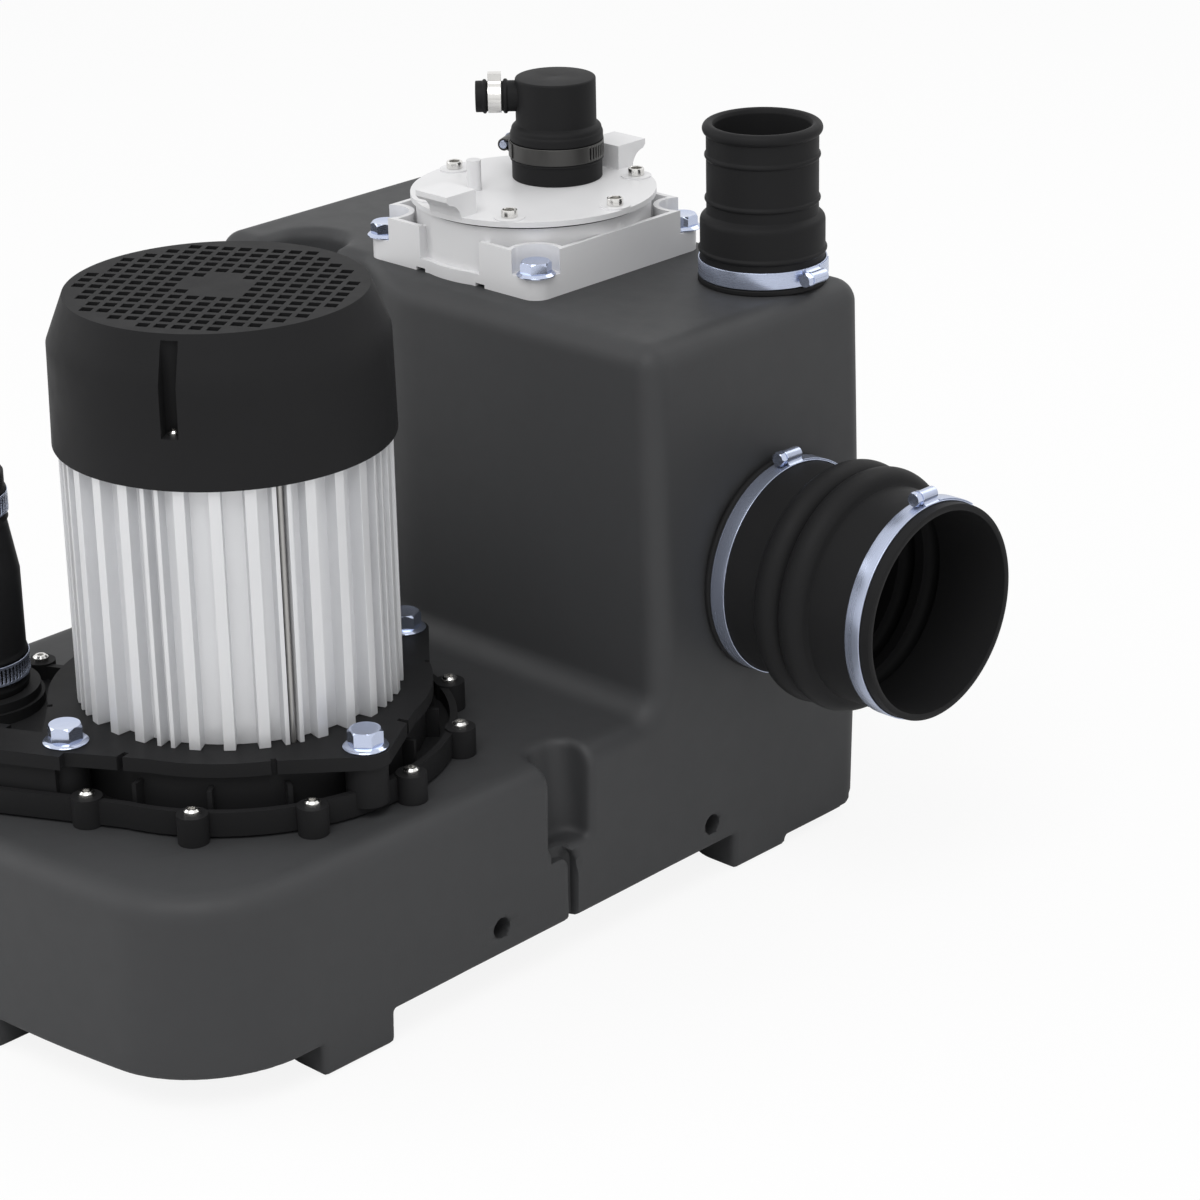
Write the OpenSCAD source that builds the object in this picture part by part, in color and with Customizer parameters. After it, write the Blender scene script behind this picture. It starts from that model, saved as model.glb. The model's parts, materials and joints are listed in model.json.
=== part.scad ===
// Floor-standing macerating pump for toilet waste: a moulded holding tank with a low deck in front
// and a tall block behind. A finned vertical motor drives the pump that hangs through the deck.
// Millimetres, +Z up. The origin is the bottom centre of the whole object's box.

/* [Tank] */
// Width across the side walls at the parting line
tank_w = 347; // [335:1:380]
// Length from the front wall to the rear wall
tank_l = 506; // [490:1:540]
// Height of the tall block's top above the floor
tank_h = 317.5; // [305:0.5:335]
// Height of the low deck above the floor
deck_z = 115; // [110:0.5:122]
// Front face of the tall block, measured from the tank's centre
riser_y = 82; // [78:1:86]
// Height of the moulded feet
foot_h = 20; // [14:1:24]
// Height of the parting line, where the walls are widest
part_z = 165; // [150:1:190]
// Draft of the side walls in degrees
draft = 1.5; // [0.5:0.1:2]
// Wall thickness of the moulding
tank_wall = 5; // [4:0.5:6]
// Rounding of the outer edges
edge_r = 13; // [8:1:16]
// Rounding of the two front corners in plan
corner_r = 45; // [30:1:55]
// How far the front wall bows out between its corners
front_bow = 14; // [8:1:18]
// Hollow fillet between the deck and the tall block
riser_fillet_r = 14; // [8:1:18]

/* [Anchors and notches] */
// Radius of the anchor screw holes in the side walls
anchor_r = 5.8; // [4:0.1:6.5]
// Distance between the two anchor holes on a side
anchor_pitch = 163; // [150:1:175]
// Height of the anchor holes above the floor
anchor_z = 35; // [34:1:40]
// Depth of an anchor hole
anchor_depth = 16; // [12:1:20]
// Width of the notch in each side wall
notch_w = 30; // [24:1:34]
// Depth of the notch
notch_depth = 25; // [20:1:30]
// Height of the notch floor
notch_floor_z = 64; // [58:1:72]
// Width of the groove that runs from the notch to the floor
groove_w = 6; // [4.5:0.5:8]

/* [Pump flange] */
// Motor axis, sideways from the tank's centre
motor_x = 32; // [28:1:36]
// Motor axis, lengthways from the tank's centre
motor_y = -86; // [-92:1:-84]
// Pitch radius of the screws that hold the pump flange
flange_screw_pcr = 115; // [113:0.5:117]
// Radius of a screw boss on the pump flange
screw_boss_r = 8; // [7:0.5:9]
// Thickness of the pump flange's plate
pump_flange_t = 5; // [4:0.5:6]
// Height of the rim round the pump flange
rim_h = 13; // [11:0.5:15]
// Discharge axis, sideways from the motor axis
discharge_dx = -137; // [-140:1:-134]
// Discharge axis, lengthways from the motor axis
discharge_dy = -67; // [-70:1:-64]
// Radius of the flange pad round the discharge
discharge_pad_r = 42; // [40:1:44]

/* [Motor] */
// Outer radius over the cooling fins
fin_r = 84.6; // [83:0.1:86]
// Radius at the root of the fins
fin_root_r = 77; // [75:0.5:79]
// Width of a flat cooling fin
fin_w = 6; // [4:0.5:7]
// Height of the finned housing
housing_h = 150; // [145:1:158]
// Underside of the motor flange above the deck
motor_lift = 28; // [26:0.5:32]
// Thickness of the motor flange
motor_flange_t = 7.5; // [6:0.5:9]
// Radius of the round part of the motor flange
motor_flange_r = 100; // [98:0.5:102]
// Pitch radius of the motor bolts
motor_bolt_pcr = 107.5; // [106:0.5:109]
// Height of the fan cap
fan_cap_h = 77; // [72:1:85]
// Wall of the fan cap
fan_cap_wall = 2.2; // [2:0.1:3]
// Radius of the rotor core
rotor_r = 37.5; // [35:0.5:39]
// Air gap between rotor and stator
air_gap = 0.5; // [0.4:0.1:0.8]

/* [Pump] */
// Radius of the shaft in its lower bearing and seal
shaft_r = 12.5; // [11:0.5:13]
// Radial clearance of the shaft in its bearings and seal
run_gap = 0.05; // [0.02:0.01:0.1]
// Radius of the impeller
impeller_r = 56; // [52:1:58]
// Radius of the suction mouth inside the cutter ring
suction_r = 26; // [24:1:28]
// Growth of the spiral casing over one turn
spiral_growth = 14; // [10:1:16]

/* [Discharge] */
// Outer radius of the valve spigot that the rubber hose slides over
valve_spigot_r = 24.3; // [24:0.1:25]
// Radius of the flap's disc
flap_r = 16.5; // [15:0.5:16.5]
// Radius of the flap's hinge pin
flap_pin_r = 1.5; // [1.2:0.1:1.8]
// Bore radius of the hose's upper end, for a 40 mm pipe
hose_bore_r = 20; // [19:0.5:21]
// Wall of the rubber hose
hose_wall = 2.8; // [2.4:0.1:3.2]
// Length of the rubber hose
hose_l = 121; // [116:1:130]

/* [Cover] */
// Distance from the rear wall to the cover's centre
cover_back = 81.5; // [79:0.5:85]
// Half the side of the square cover base
cover_half = 66; // [65:0.5:68]
// Height of the cover base's wall
cover_wall_h = 25.5; // [23:0.5:28]
// Bolt distance from the cover's centre lines
cover_bolt_off = 58; // [57:0.5:59]
// Radius of the round lid
lid_r = 68; // [66:0.5:70]
// Thickness of the lid's plate
lid_t = 3; // [2.5:0.5:4]
// Pitch radius of the lid's screws
lid_screw_pcr = 60; // [59:0.5:61]
// Axis of the sensing cap, sideways from the cover's centre
cap_dx = -6.5; // [-9:0.5:-4]
// Axis of the sensing cap, lengthways from the cover's centre
cap_dy = 25.8; // [23:0.1:28]
// Radius of the lid spigot under the rubber cap
cap_spigot_r = 22; // [21:0.5:22.5]
// Bore radius of the cap's small side spigot
side_spigot_bore_r = 5.5; // [4:0.5:6]

/* [Inlets] */
// Height of the side inlet's axis
side_inlet_z = 176; // [172:1:180]
// Distance from the rear wall to the side inlet's axis
side_inlet_back = 75.5; // [73:0.5:79]
// Bore radius of the side sleeve, for a 110 mm pipe
side_bore_r = 55; // [53:0.5:57]
// Length of the side sleeve
side_sleeve_l = 112; // [106:1:120]
// Distance from the side wall to the top inlet's axis
top_inlet_in = 45.5; // [43.5:0.5:49]
// Distance from the rear wall to the top inlet's axis
top_inlet_back = 36; // [35:0.5:41]
// Bore radius of the top sleeve, for a 50 mm pipe
top_bore_r = 26; // [25:0.5:27]
// Height of the top sleeve
top_sleeve_h = 86.5; // [80:0.5:92]
// Wall of the rubber sleeves
sleeve_wall = 3.5; // [3:0.1:4]
// Width of a clamp band
band_w = 9.5; // [8:0.5:11]
// Thickness of a clamp band
band_t = 0.9; // [0.7:0.1:1.2]

/* [Hidden] */
$fn = 64;
hull_fn = 32;
// Gap between pieces that are pushed or clamped together
fit_gap = 0.15;
// Overlap that joins the shapes of one solid, and overcut of a hole
lap = 0.5;
slab = 0.1;

// Tank
tub_step = 0.15;
arc_step = 22.5;
bow_points = 8;
foot_l = 47;
foot_depth = 40;
foot_front_y = -137;
foot_rear_y = 167.5;
front_foot_w = 46;
anchor_mid_y = 45.5;
anchor_boss_r = anchor_r + tank_wall;
notch_y = 15;
notch_corner_r = 11;
groove_y = 16.5;
groove_depth = 3;
recess = [-114, 106];
recess_r = 20;
recess_mouth = [-36, -124];
recess_slope = [-104, 123.5];
recess_normal = [0.5, 0.86];
deck_hole_r = 97;
deck_ring_t = 9;
deck_pad_r = discharge_pad_r - 10;
deck_neck_r = discharge_pad_r - 13;
inlet_stub_l = 18;
cover_hole_r = 50;
cover_y = tank_l / 2 - cover_back;
side_inlet_y = tank_l / 2 - side_inlet_back;
top_inlet_x = tank_w / 2 - top_inlet_in;
top_inlet_y = tank_l / 2 - top_inlet_back;
bow_share = 0.85;
bow_drop_share = 0.55;
cover_boss_depth = 5 * tank_wall;
cover_screw_depth = 19;
open_cut = 30;
mid_x = (side_wall_x() + side_sleeve_l - tank_w / 2) / 2;

function half_w(z) = tank_w / 2 - abs(z - part_z) * tan(draft);
function side_wall_x() = half_w(side_inlet_z);

// Pump flange, on a gasket
gasket_t = 1.5;
gasket_inset = 7.5;
gasket_pad_step = 2.5;
flange_z = deck_z + gasket_t;
flange_top = flange_z + pump_flange_t;
rim_top = flange_z + rim_h;
rim_r = flange_screw_pcr - 3;
rim_t = 4;
pad_z = flange_z + 11;
screw_pitch_deg = 30;
screw_start_deg = -84;
screw_arc_count = 9;
pad_screw_r = 46;
pad_screw_deg = [96, 186, 276];
flange_screw_r = 2.4;
flange_screw_head = [4.2, 3];
flange_screw_bite = 9;
discharge = [discharge_dx, discharge_dy];
discharge_deg = atan2(discharge_dy, discharge_dx);
pump_outlet_r = 17;
lobe = [105, 88];
lobe_r = 24;
arm_r = 12.5;
arm_off = 96.5;
arm_wall = [48, 9];
seat_wall_t = 6;
seat_rib_count = 16;
seat_rib = [9, 2.4];
seat_rib_deg = 17;
bolt_hole_floor = 3;
secant = 0.985;

// Motor
motor_flange_z = deck_z + motor_lift;
housing_z = motor_flange_z + motor_flange_t;
housing_top = housing_z + housing_h;
motor_bolt_count = 4;
motor_bolt_deg = -6;
lug_r = 13;
pillar_r = 11;
motor_bolt_r = 4;
motor_bolt_bite = 18;
flange_notch_count = 8;
flange_notch = [2.2, 3];
flange_notch_deg = motor_bolt_deg + 19;
bearing_seat_t = 7;
bearing_lip = 3;
bearing_face_share = 0.28;
bearing_groove = 0.8;
bolt_flange_r = 12;
bolt_af = 17;
bolt_head_h = 10;
seat_wall_r = 96;
stator_r = 62;
stator_l = 80;
stator_slot_count = 24;
stator_slot = [11, 3.2];
stator_slot_off = 8;
winding_inset = [4, 7];
stator_z = housing_z + 35;
winding_h = 20;
lower_bearing_r = 26;
lower_bearing_w = 15;
lower_bearing_z = motor_flange_z - 10;
upper_journal_r = 10;
upper_bearing_r = 23.5;
upper_bearing_w = 14;
upper_bearing_z = housing_top - 4;
shield_boss_t = 5;
shield_lip_t = 4;
journal_gap = 4;
shoulder_gap = 2;
shield_t = 4;
shield_r = fin_r - fit_gap;
tie_rod_r = 1.6;
tie_rod_count = 4;
tie_rod_deg = -22.5;
tie_rod_pcr = fin_r - 3.4;
tie_head_r = 2.5;
tie_head_h = 2.5;
fan_z = housing_top + 18;
fan_h = 24;
fan_r = 68;
fan_blades = 9;
fan_seat_r = 9;
fan_hub_t = 7;
fan_disc_t = 2.5;
fan_blade_t = 2.2;
fan_blade_inset = 4;
fan_cap_z = housing_top - 11;
fan_cap_top = fan_cap_z + fan_cap_h;
fan_cap_r = fin_r + fan_cap_wall + 4 * fit_gap;
fan_cap_lean = 1;
fan_cap_shoulder_z = fan_cap_top - 24;
fan_cap_top_r = fan_cap_r - 10.4;
grille_r = 74;
grille_blank_r = 17.5;
grille_pitch = [9, 9.1];
grille_shift = [3.2, -2.3];
grille_hole = [6.2, 5.6];
grille_deg = 30;
grille_reach = 9;
cap_screw_count = 3;
cap_screw_deg = -58;
cap_screw_pcr = 79.5;
cap_screw_r = 1.8;
cap_slot_w = 9;
cap_slot_floor_t = 2;
cap_post_r = 4;
cap_post_h = 9.5;
cap_slot_floor_z = housing_top + shield_t + cap_post_h + fit_gap;
cap_screw_head = [3.2, 2.6];
rib_w = 2.4;
rib_split_deg = 2.6;
fin_step_deg = 12;
fin_groups = 8;
core_seat_r = 16;
core_overhang = 7;
end_ring_step = 4;

// Pump
seal_r = 20;
seal_boss_r = seal_r + 8;
seal_h = 12;
volute_top = flange_z;
chamber_top = deck_z - 19;
chamber_h = 30;
chamber_z = chamber_top - chamber_h;
casing_wall = 5;
spiral_r = impeller_r + 8;
spiral_points = 48;
outlet_z = chamber_z + 16;
outlet_r = 13;
outlet_wall = 4;
outlet_root = 6;
outlet_floor = 1;
spiral_start_deg = 330;
volute_boss_t = 10;
volute_post_r = 7;
volute_post_in = 6;
volute_post_count = 4;
impeller_z = chamber_top - 8;
impeller_seat_r = 10;
impeller_t = 5;
blade_h = 16;
blade_step = 1;
blade_count = 5;
blade_t = 4;
blade_bend = 0.62;
blade_centre = [0.62, -0.78];
blade_start = [0.25, -0.4];
impeller_hub_t = 7;
cutter_hub_t = 5;
cutter_tip = [2, 5];
cutter_ring_wall = 8;
cutter_ring_z = chamber_z - 14;
cutter_ring_h = 14;
cutter_ring_step = 4;
cutter_ring_lip = 6;
cutter_notch_count = 8;
cutter_notch = [5, 3];
cutter_seat_r = 8;
cutter_t = 6;
cutter_z = cutter_ring_z + 3;
cutter_gap = 1;
nut_r = 9;
nut_h = 7;
nut_seat_r = 6;

// Discharge: base flange, seat, flap and hose stack upwards from the pad
valve_base_r = 33;
valve_base_t = 5;
valve_seat_z = pad_z + valve_base_t + 1;
valve_seat_r = flap_r - 2.5;
valve_bore_r = flap_r + 5;
valve_spigot_h = 39;
flap_t = 2.5;
flap_lift = 0.3;
hinge_off = 17;
hinge_z = valve_seat_z + 3.5;
knuckle_r = 3;
knuckle_l = 10;
pin_l = 30;
pin_fit = 0.02;
flap_arm = [6, 2.4];
valve_deg = 206;
hose_z = pad_z + valve_base_t + fit_gap;
hose_low_r = valve_spigot_r + fit_gap;
hose_cone_z = hose_z + 65;
hose_cone_h = 27;
lower_band_z = hose_z + 6;
upper_band_z = hose_z + hose_l - 24;
hose_band_w = 15;

// Cover
cover_ledge_h = 12;
cover_wall_t = 3;
cover_corner_r = 9;
cover_ring_r = 65;
cover_web_l = 9;
cover_slot = [7, 8, 2];
seal_groove = [4, 9, 2];
cover_ring_t = 4;
cover_sill_h = 7;
cover_opening_w = 46;
lid_z = tank_h + 34;
lid_top = lid_z + lid_t;
lid_seal_t = 1.5;
pocket_r = 13;
cover_bolt_r = 3.5;
cover_bolt_l = cover_ledge_h + cover_screw_depth - 3;
cover_bolt_flange_r = 10.5;
cover_bolt_af = 15;
cover_bolt_head_h = 8;
lid_screw_count = 6;
lid_screw_deg = 2;
lid_screw_r = 2.2;
lid_pad_r = 8.4;
lid_post_r = 5;
lid_seal_in = 3;
dip_flange = [5, 3];
grip_w = 24;
grip_h = 13.5;
grip_reach = 10;
grip_root = 12;
grip_lip = 3;
grip_scoop_r = 9.5;
lid_mark_post = [-22, -24];
lid_mark_r = 4;
lid_mark_h = 17;
lid_pad_h = 0.8;
lid_screw_l = 14;
lid_screw_head = [4.4, 4.2];
cap_spigot_h = 24;
cap_rubber_wall = 3.4;
cap_low_h = 30;
cap_low_round = 2.8;
cap_top_round = 1.6;
bead_off = 1.7;
bead_sink = 0.4;
cap_h = 55.5;
cap_high_r = 21.6;
side_spigot_z = lid_top + 46;
side_spigot_r = 8.2;
side_spigot_l = 44.5;
side_spigot_deg = 224;
clip_off = 30;
clip_w = 7.3;
clip_ear_h = 5;
clip_ear_w = 5.2;
clip_t = 1.2;
dip_tube_r = 17;
dip_tube_wall = 2;
dip_tube_end_z = 62;
vent_band_z = lid_top + 9;

// Inlet sleeves
side_stub_r = side_bore_r - fit_gap;
side_lip_l = 3;
side_lip_h = 1.8;
crest_r = 9.5;
crest_off = [42, 59];
side_inner_band = 4;
wall_gap = 0.5;
side_outer_band = side_sleeve_l - 15.7;
top_wall = sleeve_wall + 0.8;
top_out_r = top_bore_r + top_wall;
top_stub_r = top_bore_r + 3.5;
top_low_r = top_stub_r + fit_gap + top_wall;
top_shoulder_z = 36.5;
top_lip_r = 4;
top_lip_h = 2.1;
top_bead_z = [47.6, 72];
top_low_bead_z = 18.6;
top_foot_h = 1.4;
top_stub_l = 24;
top_band_off = 3.5;
bead_r = 1.3;

// Clamps
screw_axis_h = 3.4;
worm_r = 2.1;
arch_t = 0.9;
arch_l = 11;
worm_head_r = 3.2;
worm_head_h = 4;
drive_slot = 1;
hose_clamp_deg = 75;
cap_clamp_deg = 150;
side_clamp_deg = 168;
top_clamp_deg = -22;
lower_clamp_r = hose_low_r + hose_wall + fit_gap;
upper_clamp_r = hose_bore_r + hose_wall + fit_gap;
cap_clamp_r = cap_spigot_r + cap_rubber_wall + 2 * fit_gap;
side_clamp_r = side_bore_r + sleeve_wall + fit_gap;
top_clamp_r = top_low_r + fit_gap;

// Fasteners
bolt_collar_t = 2;
head_side = 0.6;
head_crown = 0.7;
socket_share = 0.45;

// Places
module place() translate([-mid_x, 0, 0]) children();
module at_motor() translate([motor_x, motor_y, 0]) children();
module at_discharge() at_motor() translate(discharge) children();
module at_cover() translate([0, cover_y, 0]) children();
module at_cap() at_cover() translate([cap_dx, cap_dy, 0]) children();
module at_top_inlet() translate([top_inlet_x, top_inlet_y, tank_h]) children();
module at_side_inlet() translate([side_wall_x(), side_inlet_y, side_inlet_z]) rotate([0, 90, 0]) children();
module around(n, r, deg = 0) for (i = [0 : n - 1]) rotate(deg + 360 / n * i) translate([r, 0, 0]) children();
module tie_rod_places() around(tie_rod_count, tie_rod_pcr, tie_rod_deg) children();
module motor_bolt_places() around(motor_bolt_count, motor_bolt_pcr, motor_bolt_deg) children();
module cap_screw_places() around(cap_screw_count, cap_screw_pcr, cap_screw_deg) children();
module lid_screw_places() around(lid_screw_count, lid_screw_pcr, lid_screw_deg) children();
module both_sides() for (s = [0, 1]) mirror([s, 0, 0]) children();
module cover_corners() for (x = [-1, 1], y = [-1, 1])
  translate([x * cover_bolt_off, y * cover_bolt_off, 0]) children();
module flange_screw_places() {
  for (i = [0 : screw_arc_count - 1])
    rotate(screw_start_deg + i * screw_pitch_deg) translate([flange_screw_pcr, 0, 0]) children();
  for (a = pad_screw_deg) translate(discharge) rotate(a) translate([pad_screw_r, 0, 0]) children();
}

// Plain shapes
module ring(r_out, r_in, z0, z1)
  rotate_extrude() translate([r_in, z0]) square([r_out - r_in, z1 - z0]);
module disc(r, z0, z1) translate([0, 0, z0]) cylinder(r = r, h = z1 - z0);
// Flat link between two discs, a little inside their common tangents
module link(p, r, q, s) {
  d = q - p;
  a = atan2(d[1], d[0]);
  t = acos((r - s) * secant / norm(d));
  polygon([
    for (k = [t, -t]) p + secant * r * [cos(a + k), sin(a + k)],
    for (k = [-t, t]) q + secant * s * [cos(a + k), sin(a + k)]
  ]);
}

// Fasteners, seated at z = 0 with the shank downwards
module flange_bolt(flange_r, af, head_h, shank_r, shank_l) {
  disc(shank_r, -shank_l, lap);
  cylinder(r1 = flange_r, r2 = flange_r - bolt_collar_t, h = bolt_collar_t);
  translate([0, 0, bolt_collar_t / 2]) cylinder(d = af / cos(30), h = head_h - bolt_collar_t, $fn = 6);
  disc(af / 2 - lap, head_h - bolt_collar_t / 2 - lap, head_h);
}
module pan_screw(head, shank_r, shank_l) {
  head_r = head[0];
  head_h = head[1];
  disc(shank_r, -shank_l, lap);
  difference() {
    union() {
      disc(head_r, 0, head_h * head_side);
      translate([0, 0, head_h * head_side - slab])
        cylinder(r1 = head_r - slab, r2 = head_r * head_crown, h = head_h * (1 - head_side));
    }
    translate([0, 0, head_h * socket_share]) cylinder(r = head_r * socket_share, h = head_h, $fn = 6);
  }
}
module socket_screw(head, shank_r, shank_l) {
  disc(shank_r, -shank_l, lap);
  difference() {
    disc(head[0], 0, head[1]);
    translate([0, 0, head[1] * socket_share]) cylinder(r = head[0] * head_side, h = head[1], $fn = 6);
  }
}
// Worm clamp round the Z axis: band, arched housing and the screw in it
module clamp_band(r, w) {
  axis_r = r + band_t + screw_axis_h;
  arch_r = worm_r + arch_t;
  difference() {
    union() {
      ring(r + band_t, r, 0, w);
      translate([axis_r, arch_l / 2, w / 2]) rotate([90, 0, 0]) cylinder(r = arch_r, h = arch_l);
      translate([r + band_t - lap, -arch_l / 2 + lap, w / 2 - arch_r + lap])
        cube([screw_axis_h + lap, arch_l - 2 * lap, 2 * (arch_r - lap)]);
    }
    translate([axis_r, arch_l, w / 2]) rotate([90, 0, 0]) cylinder(r = worm_r + fit_gap, h = 2 * arch_l);
  }
}
module clamp_screw(r, w) translate([r + band_t + screw_axis_h, 0, w / 2]) rotate([90, 0, 0]) {
  disc(worm_r, -arch_l / 2 - lap, arch_l / 2 + 2 * lap);
  difference() {
    translate([0, 0, arch_l / 2 + lap]) cylinder(r = worm_head_r, h = worm_head_h, $fn = 6);
    translate([-drive_slot / 2, -worm_head_r, arch_l / 2 + worm_head_h - drive_slot])
      cube([drive_slot, 2 * worm_head_r, 2 * drive_slot]);
  }
}

// Tank: the outer walls are lofted between layers, drawn in by the wall for the cavity
module tub_layer(z, inset, hw) {
  half_l = tank_l / 2 - tub_step;
  front = -tank_l / 2;
  for (s = [-1, 1]) {
    translate([s * (hw - corner_r), front + front_bow + corner_r, z])
      cylinder(r = corner_r - inset, h = slab, $fn = hull_fn);
    translate([s * (hw - edge_r - tank_wall), half_l - edge_r - tank_wall, z])
      cylinder(r = edge_r + tank_wall - inset, h = slab, $fn = hull_fn);
  }
  bow_half = hw - corner_r;
  bow_drop = front_bow * bow_drop_share;
  translate([0, 0, z]) linear_extrude(slab) polygon([
    for (i = [-bow_points : bow_points]) let (x = i / bow_points * bow_half * bow_share)
      [x, front + inset + bow_drop * (x / bow_half / bow_share) ^ 2],
    [0, 0]
  ]);
}
module tub_body(inset) {
  r = edge_r;
  top_hw = half_w(deck_z - r) - tub_step;
  hull() {
    tub_layer(foot_h + inset, inset, half_w(foot_h) - tub_step);
    for (a = [0 : arc_step : 90])
      tub_layer(deck_z - r + (r - inset) * sin(a) - (a == 90 ? slab : 0), r - (r - inset) * cos(a), top_hw);
  }
}
module tall_layer(z, inset) {
  hw = half_w(z);
  for (s = [-1, 1], y = [riser_y + edge_r, tank_l / 2 - edge_r])
    translate([s * (hw - edge_r), y, z]) cylinder(r = edge_r - inset, h = slab, $fn = hull_fn);
}
module tall_body(inset) {
  hull() {
    tall_layer(foot_h + inset, inset);
    tall_layer(part_z, inset);
    for (s = [-1, 1], y = [riser_y + edge_r, tank_l / 2 - edge_r])
      translate([s * (half_w(tank_h) - edge_r), y, tank_h - edge_r]) sphere(r = edge_r - inset, $fn = hull_fn);
  }
}
// Hollow fillet along the foot of the tall block, rolled off at both ends over the deck's edges
module riser_fillet() {
  r = riser_fillet_r;
  roll = edge_r + r - lap;
  hw = half_w(deck_z) - tub_step;
  intersection() {
    translate([-tank_w / 2, 0, 0]) rotate([90, 0, 90]) linear_extrude(tank_w) difference() {
      translate([riser_y - r, deck_z - r]) square([r + edge_r, 2 * r]);
      translate([riser_y - r, deck_z + r]) circle(r - slab);
    }
    union() {
      translate([-hw + roll, 0, 0]) cube([2 * (hw - roll), tank_l, deck_z - edge_r + roll]);
      both_sides() translate([hw - roll, 0, deck_z - edge_r]) rotate([-90, 0, 0])
        cylinder(r = roll - lap, h = tank_l);
    }
  }
}
module notch(grow) {
  depth = notch_depth + grow;
  w = notch_w + 2 * grow;
  r = notch_corner_r + grow;
  x = half_w(deck_z) - depth;
  both_sides() translate([x, notch_y, notch_floor_z - grow]) {
    for (s = [-1, 1]) translate([r, s * (w / 2 - r), 0]) cylinder(r = r, h = deck_z);
    translate([0, -w / 2 + r, 0]) cube([depth + tank_wall, w - 2 * r, deck_z]);
    translate([r, -w / 2, 0]) cube([depth, w, deck_z]);
  }
}
module groove(grow) both_sides()
  translate([half_w(foot_h) - groove_depth - grow, groove_y - groove_w / 2 - grow, 0])
    cube([groove_depth + 3 * tank_wall, groove_w + 2 * grow, notch_floor_z + lap]);
module motor_recess(grow) translate([0, 0, deck_z - grow]) linear_extrude(tank_h) {
  translate(recess) circle(recess_r + grow);
  polygon([
    [recess_mouth[0] + 2 * grow, riser_y - edge_r], [recess_mouth[0] + 2 * grow, riser_y],
    recess_slope + grow * recess_normal, [recess[0] - recess_r - grow + lap, recess[1]],
    [recess_mouth[1] - grow, riser_y], [recess_mouth[1] - grow, riser_y - edge_r]
  ]);
}
module anchors(r, depth) both_sides() for (s = [-1, 1])
  translate([half_w(anchor_z) + lap, anchor_mid_y + s * anchor_pitch / 2, anchor_z])
    rotate([0, -90, 0]) cylinder(r = r, h = depth + lap);
module feet() {
  both_sides() for (y = [foot_front_y, foot_rear_y])
    translate([half_w(foot_h) - foot_depth - tub_step, y - foot_l / 2, 0])
      cube([foot_depth, foot_l, foot_h + 2]);
  translate([-front_foot_w / 2, -tank_l / 2 + lap, 0]) cube([front_foot_w, foot_depth, foot_h + 2]);
}
module deck_opening(grow, h) linear_extrude(h) {
  flange_outline(deck_hole_r + grow, deck_pad_r + grow, deck_neck_r + grow);
}
module cavity() difference() {
  union() {
    tub_body(tank_wall);
    tall_body(tank_wall);
  }
  notch(tank_wall);
  groove(tank_wall);
  motor_recess(tank_wall);
  anchors(anchor_boss_r, anchor_depth + tank_wall);
  at_motor() translate([0, 0, deck_z - tank_wall - deck_ring_t]) difference() {
    linear_extrude(deck_z) {
      circle(flange_screw_pcr + 2 * screw_boss_r);
      translate(discharge) circle(pad_screw_r + 2 * screw_boss_r);
    }
    translate([0, 0, -lap]) deck_opening(0, deck_z + 1);
  }
  at_cover() cover_corners() disc(2 * cover_bolt_r + 2, tank_h - cover_boss_depth, tank_h);
}
module tank() color([0.23, 0.235, 0.24]) difference() {
  union() {
    difference() {
      union() {
        tub_body(0);
        tall_body(0);
        riser_fillet();
        feet();
      }
      cavity();
    }
    at_side_inlet() disc(side_stub_r, -tank_wall - 2, inlet_stub_l);
    at_top_inlet() disc(top_stub_r, -tank_wall, top_stub_l);
  }
  motor_recess(0);
  notch(0);
  groove(0);
  anchors(anchor_r, anchor_depth);
  at_motor() {
    translate([0, 0, deck_z - open_cut]) deck_opening(0, 2 * open_cut);
    flange_screw_places() disc(flange_screw_r + fit_gap, deck_z - flange_screw_bite - 2, deck_z + lap);
  }
  at_cover() {
    disc(cover_hole_r, tank_h - open_cut, tank_h + lap);
    cover_corners() disc(cover_bolt_r + fit_gap, tank_h - cover_screw_depth, tank_h + lap);
  }
  at_side_inlet() disc(side_stub_r - tank_wall, -open_cut, inlet_stub_l + lap);
  at_top_inlet() disc(top_stub_r - tank_wall + 1, -open_cut, top_stub_l + lap);
}

// Pump flange: a rimmed plate with screw bosses, a pillared seat for the motor and the discharge pad
module flange_outline(r, pad_r, neck_r) {
  circle(r);
  translate(discharge) circle(pad_r);
  link([0, 0], neck_r, discharge, neck_r);
}
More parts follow.
